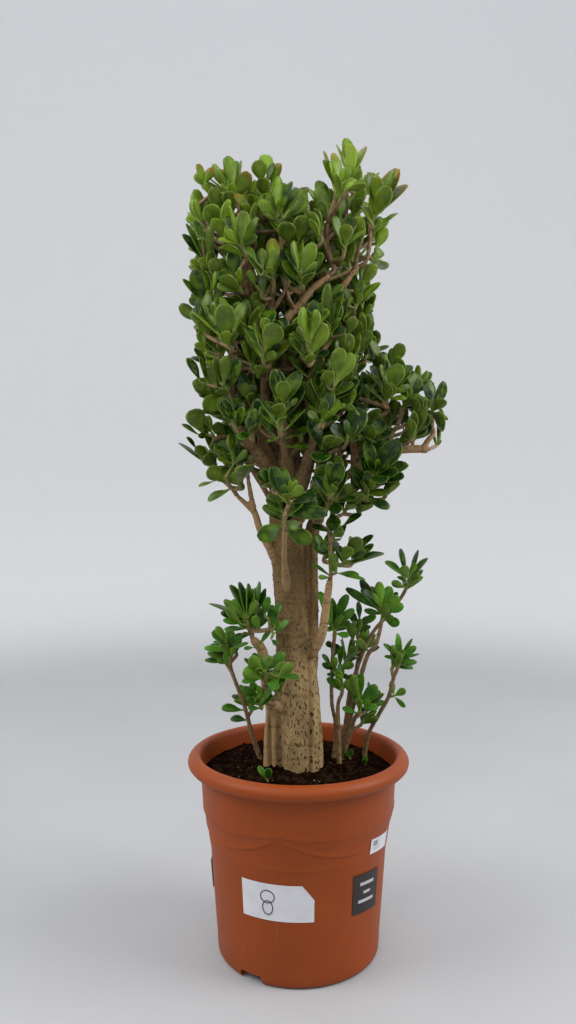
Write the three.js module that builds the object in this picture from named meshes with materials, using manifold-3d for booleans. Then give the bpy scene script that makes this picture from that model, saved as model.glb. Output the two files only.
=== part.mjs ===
// A potted jade plant: an old branching trunk that carries leafy sprays, young suckers round
// its foot, and a round plastic pot of soil. Millimetres, +Z up, origin under the pot's middle.
import * as THREE from 'three';
import { mergeVertices } from 'three/addons/utils/BufferGeometryUtils.js';
import Module from 'manifold-3d';

const wasm = await Module();
wasm.setup();

// ---------- driving sizes ----------

const GAP = 0.3;                    // clearance between pieces that touch
const POT_SIDES = 32;
// Outside of the wall, the rolled rim and the inside, as radius and height.
const POT_WALL = [[117, 3], [118, 30], [127, 150], [133.6, 193], [138.2, 211], [140.3, 240], [141.6, 260]];
const POT_RIM = [[152, 263.5], [158.5, 267.5], [160.2, 273], [157, 280], [149.5, 284.8], [142.8, 284.8]];
const POT_INSIDE = [[138, 257], [134.8, 212], [130, 192], [123.8, 150], [112, 8]];
const FOOT_RING = { inside: 106, height: 4, pad: 22, notch: 35, notchHeight: 12, azimuths: [-34, 86, 206] };
const DRAIN = { radius: 6, ring: 70, count: 4 };
const SOIL_TOP = [[88, 257.5]];
const SOIL_MIDDLE = 262;
const FOOT = { x: -7.5, y: 1, halfLength: 46, halfWidth: 36, bottom: 214, top: 267, sides: 14 };
const STEM_FOOT = { radius: 4, sides: 4, bottom: 226 };

const TWIG = { sides: 3, root: 3.2, tip: 2.7 };
const LEAF = { thick: 3.4, sink: 0.5, wide: 0.5, longest: 56, shortest: 17 };
const SPREAD = 56;                  // degrees between a shoot and its leaves
const CROWD = 2.6;                  // how near a rim may come to the middle plane of another blade

const LOOKS = {
  pot: new THREE.MeshStandardMaterial({ color: 0x96503a, roughness: 0.45, metalness: 0 }),
  soil: new THREE.MeshStandardMaterial({ color: 0x2c1d15, roughness: 1, metalness: 0 }),
  wood: new THREE.MeshStandardMaterial({ color: 0x8a7053, roughness: 0.85, metalness: 0 }),
  leaves: new THREE.MeshStandardMaterial({ color: 0x4a7a24, roughness: 0.35, metalness: 0 }),
  paper: new THREE.MeshStandardMaterial({ color: 0xe4e2dc, roughness: 0.7, metalness: 0 }),
  dark: new THREE.MeshStandardMaterial({ color: 0x1c1b1c, roughness: 0.5, metalness: 0 }),
};

// ---------- small helpers ----------

const UP = new THREE.Vector3(0, 0, 1);
const radians = (degrees) => degrees * Math.PI / 180;
const mix = (a, b, t) => a + (b - a) * t;

function seededRandom(seed) {
  let state = seed;
  return () => {
    state = (state + 0x6D2B79F5) | 0;
    let t = Math.imul(state ^ (state >>> 15), 1 | state);
    t = (t + Math.imul(t ^ (t >>> 7), 61 | t)) ^ t;
    return ((t ^ (t >>> 14)) >>> 0) / 4294967296;
  };
}
const random = seededRandom(23);

// Points of the plant are written [x, z, depth] on an upright board through the pot's axis, as
// they line up for someone at EYE. The point itself is on that line of sight, at y = depth.
const EYE = new THREE.Vector3(-15, -1180, 656);

function place([x, z, depth = 0]) {
  const reach = (depth - EYE.y) / -EYE.y;
  return new THREE.Vector3(mix(EYE.x, x, reach), depth, mix(EYE.z, z, reach));
}

// A point on a ring round the pot's axis. Azimuth 0 faces -Y and grows towards +X.
function ringPoint(radius, azimuth, z) {
  const turn = radians(azimuth);
  return new THREE.Vector3(radius * Math.sin(turn), -radius * Math.cos(turn), z);
}

function solid(geometry) {
  geometry.deleteAttribute('normal');
  geometry.deleteAttribute('uv');
  const merged = mergeVertices(geometry, 1e-4);
  const body = new wasm.Manifold(new wasm.Mesh({
    numProp: 3,
    vertProperties: new Float32Array(merged.attributes.position.array),
    triVerts: new Uint32Array(merged.index.array),
  }));
  return body;
}

// Joins solids into one body. Hollows sealed between them fill up.
function fuse(solids) {
  const pieces = wasm.Manifold.union(solids).decompose();
  return pieces.reduce((best, piece) => (piece.volume() > best.volume() ? piece : best));
}

function mesh(name, body, look) {
  const { vertProperties, triVerts } = body.getMesh();
  const geometry = new THREE.BufferGeometry();
  geometry.setAttribute('position', new THREE.BufferAttribute(vertProperties, 3));
  geometry.setIndex(new THREE.BufferAttribute(triVerts, 1));
  geometry.computeVertexNormals();
  const made = new THREE.Mesh(geometry, look);
  made.name = name;
  return made;
}

// ---------- stems ----------

// A closed tapering tube through the points; radii may be one number for each point.
function stem(points, radii, sides) {
  const rows = points.length - 1;
  const geometry = new THREE.CylinderGeometry(1, 1, 1, sides, rows);
  const across = [];
  let side = new THREE.Vector3(1, 0, 0);
  points.forEach((point, i) => {
    const before = points[Math.max(i - 1, 0)];
    const after = points[Math.min(i + 1, rows)];
    const along = after.clone().sub(before).normalize();
    side = side.clone().addScaledVector(along, -side.dot(along));
    if (side.length() < 0.2) side.set(0, 1, 0).addScaledVector(along, -along.y);
    side.normalize();
    across.push([side, side.clone().cross(along)]);
  });
  const at = geometry.attributes.position;
  for (let i = 0; i < at.count; i++) {
    const row = Math.round((at.getY(i) + 0.5) * rows);
    const [u, v] = across[row];
    const spot = points[row].clone()
      .addScaledVector(u, at.getX(i) * radii[row])
      .addScaledVector(v, at.getZ(i) * radii[row]);
    at.setXYZ(i, spot.x, spot.y, spot.z);
  }
  return solid(geometry);
}

// ---------- where the wood runs: [x, z, depth, radius] ----------

const WOOD = {
  trunk: [[3, 264, 0, 33], [3, 300, 0, 33], [1, 360, 0, 31], [-2, 400, 0, 29], [-8, 450, 0, 25],
    [-12, 500, 0, 22], [-15, 545, 0, 22.5], [-17, 590, 0, 24.5], [-18, 635, 0, 24],
    [-17, 672, 0, 19], [-16, 700, 0, 11]],
  right_stem: [[12, 370, 4, 15], [17, 440, 6, 12.5], [18.5, 500, 8, 11], [18.5, 590, 6, 11],
    [26, 622, 2, 11], [40, 650, -6, 10], [51, 692, -22, 7.5], [58, 712, -36, 5.5]],
  left_stem: [[-45, 264, -2, 6.5], [-44, 305, -3, 6.5], [-41, 342, -6, 7], [-46, 370, -10, 7.5],
    [-52, 427, -18, 8], [-62, 442, -22, 7], [-67, 448, -23, 5.5]],
  left_rib: [[-34, 264, -4, 8], [-35, 300, -4, 8], [-32, 345, -4, 8], [-22, 385, -4, 7]],
  cut_stub: [[-18, 343, -12, 8], [-35, 351, -26, 6.5]],
  left_limb: [[-22, 650, -2, 16], [-40, 690, -8, 11], [-64, 724, -14, 9], [-80, 746, -18, 7.5],
    [-92, 762, -22, 6.5], [-96, 800, -20, 5.5], [-95, 850, -24, 5], [-108, 888, -22, 4.2]],
  second_limb: [[-26, 664, 4, 13], [-46, 722, 2, 10], [-52, 745, 0, 8], [-49, 805, -4, 6.5],
    [-50, 840, -8, 6.5], [-58, 880, -14, 5.5], [-65, 930, -16, 5.2], [-84, 975, -20, 4.8],
    [-108, 1004, -20, 4.2]],
  second_limb_top: [[-65, 930, -16, 5], [-72, 985, -14, 4.4], [-70, 1022, -12, 3.8]],
  second_limb_fork: [[-50, 840, -8, 6], [-41, 890, -20, 4.6], [-39, 920, -30, 4]],
  middle_limb: [[-16, 672, -4, 15], [-16, 712, -6, 12], [-17, 780, -10, 9.5], [-18, 850, -14, 8],
    [-19, 905, -16, 7], [0, 930, -14, 6], [20, 955, -10, 5.4], [36, 967, -7, 5], [45, 974, -6, 4.4]],
  top_right_limb: [[-18, 868, -12, 6], [18, 912, 2, 5.6], [50, 940, 6, 5.4], [68, 964, 6, 5.4],
    [80, 981, 6, 4.6], [88, 987, 5, 4]],
  front_limb: [[-16, 700, -10, 8], [-20, 722, -44, 5], [-23, 737, -66, 4]],
  inner_limb: [[2, 664, -4, 12], [12, 704, -14, 8], [22, 738, -28, 6.5], [30, 755, -46, 5],
    [38, 763, -59, 4.2]],
  upright_limb: [[22, 738, -28, 6], [15, 772, -32, 5], [15, 815, -38, 4.6], [22, 842, -45, 4]],
  right_limb: [[36, 642, -4, 9], [57, 674, -10, 7], [82, 692, -12, 6.5], [120, 708, -10, 6],
    [149, 722, -6, 6], [178, 724, -2, 6.5], [188, 723, -1, 7]],
  right_limb_up: [[82, 692, -12, 6.5], [81, 718, -13, 6], [80, 744, -13, 5.4], [95, 757, -12, 4.8],
    [121, 772, -12, 4.2]],
  right_shoot: [[124, 710, -9, 5], [133, 741, -9, 4.4], [144, 759, -9, 3.8]],
  far_right_shoot: [[182, 724, -2, 5], [187, 735, -1, 4.5], [196, 746, 0, 4], [194, 757, 0, 3.6]],
  left_twig: [[-30, 560, -10, 9], [-42, 580, -14, 6.5], [-56, 608, -18, 5.5], [-63, 630, -20, 5],
    [-75, 643, -23, 4.2], [-89, 656, -25, 3.6]],
  left_twig_fork: [[-63, 630, -20, 4.6], [-69, 657, -26, 4], [-73, 681, -34, 3.4]],
  left_back_twig: [[-40, 650, 8, 5], [-67, 694, 6, 4.2], [-88, 720, -8, 3.8]],
  front_twig: [[-15, 515, -14, 6], [-20, 560, -46, 4.4], [-20, 592, -80, 4.2], [-19, 609, -100, 3.8]],
  low_branch: [[18, 425, -12, 9], [34, 453, -26, 7], [41, 501, -36, 6], [46, 533, -43, 5]],
  back_limb_left: [[-14, 672, 8, 12], [-30, 735, 34, 8], [-46, 810, 48, 6.5], [-54, 890, 52, 5.5],
    [-48, 962, 48, 4.5]],
  back_limb_right: [[4, 672, 10, 12], [24, 738, 36, 8], [42, 830, 50, 6.5], [46, 920, 52, 5.5],
    [34, 1002, 46, 4.5]],
  back_limb_middle: [[-8, 682, 12, 10], [-2, 790, 30, 7], [-6, 880, 36, 5.5], [-12, 960, 38, 4.8],
    [-18, 1024, 36, 4]],
};
const TRUNK_SIDES = 10;
const LIMB_SIDES = 5;

// ---------- the leafy sprays ----------
// root: where the green shoot leaves the wood. Each head: at its growing tip, via the bends of
// its shoot, tips the ends of the leaves that stand clear.

const SPRAYS = {
  spray_top_left_tip: { root: [-118, 1016, -20], heads: [
    { at: [-136, 1104, -10], via: [[-126, 1040, -18], [-146, 1070, -12]],
      tips: [[-144, 1131], [-122, 1125]] },
    { at: [-112, 1034, -50], tips: [[-125, 1072], [-98, 1060]] },
    { at: [-105, 1050, 20], tips: [[-122, 1099], [-98, 1093]] }] },
  spray_top_left: { root: [-70, 1030, -12], heads: [
    { at: [-93, 1086, -20], tips: [[-97, 1144], [-85, 1133], [-69, 1117], [-110, 1130]] },
    { at: [-46, 1079, -10], tips: [[-47, 1146], [-56, 1132], [-31, 1133], [-52, 1112]] }] },
  spray_top_middle: { root: [-14, 942, -30], heads: [
    { at: [-27, 1048, -50], via: [[-24, 990, -38]], tips: [[-26, 1112], [-12, 1108], [-5, 1095]] },
    { at: [-5, 1015, -40], tips: [[1, 1060], [-17, 1044]] },
    { at: [5, 968, -70], tips: [[-6, 1023], [5, 1020], [15, 1020]] }] },
  spray_upper_middle: { root: [-40, 930, -35], heads: [
    { at: [-38, 975, -70], tips: [[-34, 1026], [-35, 1011], [-52, 1010]] },
    { at: [-54, 950, -60], tips: [[-71, 979]] }] },
  spray_upper_left: { root: [-92, 958, -44], heads: [
    { at: [-82, 1014, -80], tips: [[-76, 1064], [-95, 1065], [-108, 1030], [-68, 1028]] },
    { at: [-128, 988, -30], tips: [[-145, 1024], [-163, 1025], [-164, 1047], [-150, 1050]] },
    { at: [-85, 958, -66], tips: [[-99, 985]] }] },
  spray_top_right: { root: [49, 980, -5], heads: [
    { at: [56, 1086, -20], via: [[42, 1013, -8], [42, 1049, -14]],
      tips: [[39, 1149], [38, 1136], [56, 1148], [72, 1123]] },
    { at: [33, 1048, 30], tips: [[28, 1099], [31, 1111], [28, 1075]] },
    { at: [68, 1010, -40], tips: [[69, 1044], [76, 1061], [93, 1040], [52, 1045]] }] },
  spray_top_right_far: { root: [76, 1000, 8], heads: [
    { at: [77, 1097, 20], via: [[69, 1056, 14]],
      tips: [[68, 1164], [88, 1159], [59, 1155], [90, 1120]] }] },
  spray_right_top: { root: [94, 992, 4], heads: [
    { at: [110, 1045, -10], via: [[103, 1020, 0]],
      tips: [[99, 1119], [111, 1117], [140, 1125], [127, 1097], [155, 1105], [143, 1061], [89, 1071]] },
    { at: [114, 1002, 14], tips: [[128, 1033], [122, 985]] }] },
  spray_right_hanging: { root: [74, 912, -4], heads: [
    { at: [84, 932, -20], tips: [[117, 975], [91, 977], [110, 995]] },
    { at: [94, 910, 6], tips: [[114, 946], [109, 922], [100, 935]] },
    { at: [97, 890, -16], tips: [[118, 858]] }] },
  spray_middle: { root: [25, 852, -48], heads: [
    { at: [17, 860, -100], tips: [[7, 929], [25, 925], [38, 906], [-13, 885], [-10, 893]] },
    { at: [47, 893, -60], tips: [[55, 932]] },
    { at: [72, 850, -50], tips: [[70, 892], [85, 890]] }] },
  spray_middle_left: { root: [-42, 838, -55], heads: [
    { at: [-52, 858, -100],
      tips: [[-29, 905], [-46, 913], [-46, 921], [-34, 858], [-20, 881], [-64, 905]] },
    { at: [-68, 845, -66], tips: [[-85, 881], [-50, 835]] }] },
  spray_left_outer: { root: [-118, 905, -20], heads: [
    { at: [-132, 928, -46], tips: [[-146, 980], [-167, 967], [-119, 980]] },
    { at: [-143, 906, 6], tips: [[-170, 929]] }] },
  spray_left_middle: { root: [-88, 862, -45], heads: [
    { at: [-103, 880, -90], tips: [[-105, 934], [-77, 933], [-120, 934], [-131, 929]] },
    { at: [-112, 862, -58], tips: [[-145, 890], [-147, 870], [-130, 850]] }] },
  spray_centre_right: { root: [40, 768, -66], heads: [
    { at: [50, 808, -100], tips: [[78, 865], [60, 869], [43, 840], [35, 852], [17, 826], [78, 821]] },
    { at: [35, 768, -120], tips: [[68, 789], [14, 786]] }] },
  spray_right_outer: { root: [127, 778, -12], heads: [
    { at: [133, 803, -50], tips: [[146, 848], [160, 845], [156, 795], [115, 835]] },
    { at: [138, 830, -4], tips: [[147, 876], [128, 868]] }] },
  spray_right_shoot: { root: [146, 764, -9], heads: [
    { at: [155, 789, -20], tips: [[154, 812], [173, 833], [170, 795]] }] },
  spray_far_right: { root: [194, 763, 0], heads: [
    { at: [196, 780, -6],
      tips: [[183, 818], [200, 834], [213, 794], [204, 800], [161, 784], [180, 785],
        [217, 765], [164, 761]] }] },
  spray_left_low: { root: [-101, 776, -30], heads: [
    { at: [-108, 815, -70], tips: [[-102, 859], [-130, 842], [-156, 858]] },
    { at: [-117, 799, -40], tips: [[-150, 823]] },
    { at: [-95, 764, -90], tips: [[-139, 788], [-141, 776], [-85, 796], [-104, 752]] }] },
  spray_left_outer_low: { root: [-104, 738, -20], heads: [
    { at: [-126, 748, -40], tips: [[-151, 782], [-170, 759], [-136, 752]] }] },
  spray_left_twig_end: { root: [-93, 662, -26], heads: [
    { at: [-106, 682, -56], tips: [[-132, 690], [-144, 668], [-132, 648]] },
    { at: [-130, 704, 10], tips: [[-173, 735], [-163, 741], [-140, 725]] },
    { at: [-88, 676, -52], tips: [[-80, 694]] }] },
  spray_left_twig: { root: [-74, 686, -36], heads: [
    { at: [-91, 709, -60], tips: [[-126, 710], [-119, 708], [-108, 725]] }] },
  spray_centre_left: { root: [-58, 752, -62], heads: [
    { at: [-71, 750, -110], tips: [[-51, 781], [-72, 772]] },
    { at: [-72, 796, -60], tips: [[-78, 818], [-64, 818]] }] },
  spray_centre: { root: [-24, 742, -75], heads: [
    { at: [-28, 757, -130], tips: [[-34, 793], [-60, 770], [0, 770], [20, 758]] },
    { at: [-25, 789, -100], tips: [[-20, 824], [-12, 815]] }] },
  spray_right_inner: { root: [60, 722, -45], heads: [
    { at: [72, 741, -90], tips: [[89, 736], [83, 765], [44, 759], [94, 787], [80, 808]] },
    { at: [37, 726, -80], tips: [[30, 708], [60, 716]] }] },
  spray_right_low: { root: [92, 712, -24], heads: [
    { at: [104, 735, -56], tips: [[122, 768], [135, 762], [134, 738], [85, 745]] },
    { at: [113, 688, -70],
      tips: [[125, 734], [147, 733], [112, 715], [160, 702], [154, 691], [96, 715]] }] },
  spray_front_right: { root: [70, 664, -45], heads: [
    { at: [101, 661, -66], tips: [[91, 680], [130, 664], [136, 653]] },
    { at: [51, 661, -100], tips: [[44, 688], [17, 683], [75, 693], [49, 645]] }] },
  spray_front: { root: [-19, 615, -106], heads: [
    { at: [-19, 660, -150],
      tips: [[-59, 594], [19, 591], [-52, 642], [43, 628], [-42, 698], [-22, 699],
        [-10, 677], [23, 661], [-50, 652]] }] },
  spray_low_right: { root: [47, 541, -46], heads: [
    { at: [52, 604, -80], tips: [[49, 645], [49, 630], [95, 637], [105, 637], [92, 620]] },
    { at: [66, 556, -50],
      tips: [[75, 583], [88, 599], [113, 604], [127, 571], [41, 605], [61, 616],
        [90, 538], [24, 539], [17, 562], [95, 532]] },
    { at: [40, 573, -28], tips: [[23, 580], [58, 590]] }] },
  left_shoot: { root: [-68, 452, -24], heads: [
    { at: [-73, 472, -44],
      tips: [[-89, 530], [-101, 527], [-77, 529], [-68, 518], [-59, 521], [-130, 502],
        [-105, 505], [-93, 500], [-105, 480], [-112, 470]] },
    { at: [-42, 470, -56], tips: [[-46, 509], [-37, 497], [-13, 474], [-41, 450]] }] },
  left_low_rosettes: { root: [-50, 358, -32], heads: [
    { at: [-51, 385, -80],
      tips: [[-70, 421], [-20, 426], [-10, 411], [-79, 396], [2, 390], [-28, 392], [-30, 375]] },
    { at: [-56, 352, -58], tips: [[-82, 375]] }] },
};

// Suckers stand in the soil at foot. Their stem leaves have a base and a tip of their own.
const SUCKERS = {
  sucker_left: { foot: [-56, 267, 27], heads: [
    { at: [-102, 430, 0], via: [[-67, 305, 22], [-77, 344, 16], [-88, 375, 10], [-98, 403, 5]],
      tips: [[-139, 434], [-74, 443], [-127, 453], [-117, 455], [-118, 412]] }],
    stemLeaves: [[[-83, 356, 14], [-104, 367, 8]], [[-79, 343, 16], [-113, 345, 10]],
      [[-74, 328, 19], [-99, 330, 30]], [[-69, 310, 21], [-94, 312, 10]]] },
  sucker_right_first: { foot: [52, 268, 34], heads: [
    { at: [53, 467, 20],
      via: [[55, 300, 33], [54, 327, 30], [49, 354, 28], [49, 394, 26], [51, 435, 23]],
      tips: [[80, 493], [69, 515], [50, 510], [35, 514], [70, 455]] }], stemLeaves: [] },
  sucker_right_front: { foot: [60, 262, 12], heads: [
    { at: [64, 385, 2], via: [[59, 305, 10], [58, 350, 8]],
      tips: [[65, 437], [86, 429], [82, 411], [95, 399], [30, 412], [40, 430]] }], stemLeaves: [] },
  sucker_right_tall: { foot: [63, 275, 54], heads: [
    { at: [161, 530, 20],
      via: [[69, 322, 50], [75, 370, 46], [83, 397, 44], [106, 452, 40], [130, 482, 34],
        [149, 507, 27]],
      tips: [[143, 578], [178, 578], [192, 566], [123, 561], [156, 560], [168, 560], [176, 540]] },
    { at: [88, 467, 40], via: [[90, 430, 46]], tips: [[117, 482], [80, 500], [95, 500]] },
    { at: [125, 486, -4], via: [[97, 412, 28], [112, 436, 10], [119, 460, 2]],
      tips: [[118, 534], [133, 526], [146, 509], [155, 496], [90, 518], [62, 523],
        [90, 531], [149, 469], [92, 492]] }],
    stemLeaves: [[[107, 430, 15], [85, 447, 2]], [[107, 428, 15], [124, 437, 0]]] },
  sucker_right_low: { foot: [66, 272, 34], heads: [
    { at: [90, 347, 0], via: [[78, 318, 22], [84, 335, 8]],
      tips: [[95, 399], [69, 385], [116, 377], [64, 344], [119, 346]] }], stemLeaves: [] },
  sucker_right_outer: { foot: [97, 274, 50], heads: [
    { at: [148, 419, 0],
      via: [[100, 297, 45], [105, 314, 40], [119, 339, 30], [132, 363, 20], [139, 390, 10]],
      tips: [[145, 457], [172, 447], [170, 435], [123, 439], [135, 439], [180, 423],
        [126, 420], [163, 414]] }],
    stemLeaves: [[[130, 360, 21], [137, 386, 6]], [[129, 358, 22], [157, 370, 12]],
      [[128, 356, 22], [160, 348, 22]], [[104, 311, 41], [88, 335, 34]],
      [[104, 311, 41], [107, 334, 24]]] },
};

// The side away from the eye: rings of heads round the crown, two to a spray.
const BACK = {
  rings: 5, low: 728, rise: 78, radius: 104, azimuths: [25, 66, 112, 155], stagger: 10, pairs: 2,
};

// ---------- room for every blade ----------

const rods = [];       // stretches of stem: from, to, radius, head
const blades = [];     // blades already placed

// True if the stretch p-q comes within reach of the blade's middle plane, inside its rim.
function cutsBlade(p, q, blade, reach, grow) {
  const a = p.clone().sub(blade.centre);
  const step = q.clone().sub(p);
  const height = a.dot(blade.face);
  const climb = step.dot(blade.face);
  let from = 0;
  let to = 1;
  if (Math.abs(climb) < 1e-9) {
    if (Math.abs(height) > reach) return false;
  } else {
    const one = (-reach - height) / climb;
    const two = (reach - height) / climb;
    from = Math.max(from, Math.min(one, two));
    to = Math.min(to, Math.max(one, two));
    if (from >= to) return false;
  }
  const long = blade.halfLength + grow;
  const wide = blade.halfWidth + grow;
  const u = a.dot(blade.along) / long;
  const v = a.dot(blade.side) / wide;
  const du = step.dot(blade.along) / long;
  const dv = step.dot(blade.side) / wide;
  const nearest = Math.min(Math.max(-(u * du + v * dv) / (du * du + dv * dv + 1e-12), from), to);
  return (u + nearest * du) ** 2 + (v + nearest * dv) ** 2 < 1;
}

// The nearest that the stretches p-q and r-s come to each other.
function gapBetween(p, q, r, s) {
  const u = q.clone().sub(p);
  const v = s.clone().sub(r);
  const w = p.clone().sub(r);
  const a = u.dot(u);
  const b = u.dot(v);
  const c = v.dot(v);
  const d = u.dot(w);
  const e = v.dot(w);
  const spread = a * c - b * b;
  let t = spread < 1e-9 ? 0 : (b * e - c * d) / spread;
  t = Math.min(Math.max(t, 0), 1);
  const k = Math.min(Math.max((b * t + e) / c, 0), 1);
  t = Math.min(Math.max((b * k - d) / a, 0), 1);
  return w.addScaledVector(u, t).addScaledVector(v, -k).length();
}

function crowded(blade) {
  for (const rod of rods) {
    const middle = rod.from.clone().add(rod.to).multiplyScalar(0.5);
    const reach = middle.distanceTo(rod.to) + blade.halfLength + rod.radius + 4;
    if (middle.distanceTo(blade.centre) > reach) continue;
    const rim = rod.head === blade.head ? blade.rim.slice(1, -1) : blade.rim;
    const other = rod.head !== blade.head;
    if (other && cutsBlade(rod.from, rod.to, blade, rod.radius + 2, rod.radius)) return true;
    for (let i = 0; i + 1 < rim.length; i++) {
      if (gapBetween(rim[i], rim[i + 1], rod.from, rod.to) < rod.radius + 1) return true;
    }
  }
  for (const other of blades) {
    if (other.centre.distanceTo(blade.centre) > other.halfLength + blade.halfLength + 5) continue;
    for (let i = 0; i + 1 < blade.rim.length; i++) {
      if (cutsBlade(blade.rim[i], blade.rim[i + 1], other, CROWD, 0.6)) return true;
    }
    for (let i = 0; i + 1 < other.rim.length; i++) {
      if (cutsBlade(other.rim[i], other.rim[i + 1], blade, CROWD, 0.6)) return true;
    }
  }
  return blade.rim.some((p) => p.z < lowestClear(Math.hypot(p.x, p.y)));
}

// Leaves keep above the soil and the rim of the pot.
function lowestClear(radius) {
  return radius > 172 ? 0 : radius > 132 ? 292 : SOIL_MIDDLE + 4;
}

// ---------- a leaf ----------
// Rim stations: how far along, how far out, each as a share of length and width.
const RIM = [[0.1, 0.06], [0.42, 0.42], [0.78, 0.49], [1, 0.15]];
const BELLY = 0.5;

// Works out a blade from its root and tip. facing is the way its upper side looks.
function blade(root, tip, facing, width, head) {
  const along = tip.clone().sub(root);
  const length = along.length();
  along.normalize();
  const face = facing.clone().addScaledVector(along, -facing.dot(along));
  if (face.length() < 0.05) face.copy(UP).addScaledVector(along, -UP.dot(along));
  face.normalize();
  const side = face.clone().cross(along);
  const spot = (u, v, w = 0) => root.clone()
    .addScaledVector(along, u * length).addScaledVector(side, v * width).addScaledVector(face, w);
  const left = RIM.map(([u, v]) => spot(u, v));
  const right = RIM.map(([u, v]) => spot(u, -v)).reverse();
  return {
    root, along, side, face, length, width, head, spot,
    rim: [...left, ...right],
    centre: spot(0.62, 0), halfLength: length * 0.39, halfWidth: width * 0.5,
  };
}

// A blade is flat above and bellied below.
function leafSolid({ spot, along }) {
  const outline = RIM.slice(1);
  const corners = [spot(0, 0).addScaledVector(along, -LEAF.sink),
    ...outline.map(([u, v]) => spot(u, -v)), ...outline.map(([u, v]) => spot(u, v)).reverse()];
  const around = corners.length;
  corners.push(spot(BELLY, 0, -LEAF.thick));
  const faces = [];
  for (let i = 0; i < around; i++) faces.push(around, (i + 1) % around, i);
  faces.push(0, 1, around - 1);
  for (let low = 1, high = around - 1; low + 1 < high; low++, high--) {
    faces.push(low, low + 1, high);
    if (low + 1 < high - 1) faces.push(low + 1, high - 1, high);
  }
  const geometry = new THREE.BufferGeometry().setFromPoints(corners);
  geometry.setIndex(faces);
  return solid(geometry);
}

// ---------- growing the plant ----------

const growth = {};     // node name -> { paths: [{ points, radii, sides }], blades }

function addPath(node, points, radii, sides, head) {
  growth[node] ??= { paths: [], blades: [] };
  growth[node].paths.push({ points, radii, sides });
  for (let i = 0; i + 1 < points.length; i++) {
    rods.push({ from: points[i], to: points[i + 1], radius: Math.max(radii[i], radii[i + 1]), head });
  }
}

// The point of the wood that a new shoot starts from: near, and lower than the shoot.
function nearestWood(root) {
  let best = null;
  for (const stations of Object.values(WOOD)) {
    for (let i = 0; i + 1 < stations.length; i++) {
      for (const t of [0, 0.25, 0.5, 0.75, 1]) {
        const point = place(stations[i]).lerp(place(stations[i + 1]), t);
        const run = Math.hypot(point.x - root.x, point.y - root.y);
        const cost = point.distanceTo(root) + Math.max(0, point.z - root.z + run / 2);
        if (!best || cost < best.cost) best = { point, cost };
      }
    }
  }
  return best.point;
}

// The way a head looks: outwards, and towards the eye in front.
function headAxis(at, middle) {
  return new THREE.Vector3((at.x - middle) / 200, at.y / 95, 1).normalize();
}

// Finds the depth of a leaf tip, so that the leaf stands off its shoot at the usual angle.
function leafTip(root, axis, [x, z], forward) {
  let best = null;
  for (let step = -28; step <= 28; step++) {
    const depth = root.y + step * 2;
    const tip = place([x, z, depth]);
    const way = tip.clone().sub(root);
    const length = way.length();
    const angle = way.angleTo(axis) * 180 / Math.PI;
    const wrongSide = (step < 0) === forward ? 0 : 9;
    const cost = Math.abs(angle - SPREAD) + wrongSide + 3 * Math.max(0, length - LEAF.longest);
    if (!best || cost < best.cost - 1e-6) best = { tip, cost };
  }
  return best.tip;
}

// Other ways a blade may turn when its place is taken: opening, swing round the shoot, size.
const TURNS = [[0, 0, 1], [10, 0, 1], [-10, 0, 1], [0, 14, 1], [0, -14, 1], [-22, 0, 1], [20, 0, 0.95],
  [0, 30, 0.95], [0, -30, 0.95], [0, 0, 0.8], [-14, 14, 0.85], [-14, -14, 0.85], [14, 20, 0.8],
  [14, -20, 0.8], [-28, 0, 0.75], [0, 0, 0.62]];

function tryLeaf(node, root, tip, axis, width, head) {
  const way = tip.clone().sub(root);
  const hinge = axis.clone().cross(way).normalize();
  const roll = mix(-12, 12, random());
  for (const [open, swing, size] of TURNS) {
    const turned = way.clone()
      .applyAxisAngle(hinge, radians(open))
      .applyAxisAngle(axis, radians(swing))
      .multiplyScalar(size);
    if (turned.length() < LEAF.shortest) continue;
    const facing = axis.clone().applyAxisAngle(turned.clone().normalize(), radians(roll));
    const leaf = blade(root, root.clone().add(turned), facing, width * size, head);
    if (crowded(leaf)) continue;
    blades.push(leaf);
    growth[node].blades.push(leaf);
    return leaf;
  }
  return null;
}

// start is one or two points of the shoot that the head's own stem goes on from.
function growHead(node, start, { at, via = [], tips }, middle) {
  const end = place(at);
  const axis = headAxis(end, middle);
  const span = end.distanceTo(via.length ? place(via[via.length - 1]) : start[start.length - 1]);
  const neck = end.clone().addScaledVector(axis, -Math.min(18, span * 0.45));
  const points = [...start, ...via.map(place), neck, end];
  const radii = points.map((_, i) => mix(TWIG.root, TWIG.tip, i / (points.length - 1)));
  const head = `${node}/${at.join()}`;
  addPath(node, points, radii, TWIG.sides, head);
  return { node, head, end, axis, neck, tips, points };
}

function growShownLeaves({ node, head, end, axis, neck, tips }) {
  const ways = [];
  tips.forEach((tip, i) => {
    const drop = Math.min(1, (i + 0.5) / Math.max(tips.length, 4));
    const root = end.clone().lerp(neck, drop);
    const goal = leafTip(root, axis, tip, i % 2 === 0);
    const length = goal.distanceTo(root);
    const leaf = tryLeaf(node, root, goal, axis, length * LEAF.wide * mix(0.94, 1.12, random()), head);
    if (leaf) ways.push(leaf);
  });
  return ways;
}

// Leaves grow in opposite pairs: the partners of the leaves that stand clear.
function growPartners({ node, head, axis, tips }, ways, most) {
  let added = 0;
  for (const leaf of [...ways]) {
    if (added >= most) break;
    const way = leaf.along.clone().multiplyScalar(-1).addScaledVector(axis, 2 * leaf.along.dot(axis));
    if (ways.some((other) => other.along.angleTo(way) < radians(38))) continue;
    const tip = leaf.root.clone().addScaledVector(way, leaf.length * 0.92);
    const partner = tryLeaf(node, leaf.root, tip, axis, leaf.width * 0.95, head);
    if (!partner) continue;
    ways.push(partner);
    added += 1;
  }
}

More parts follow.
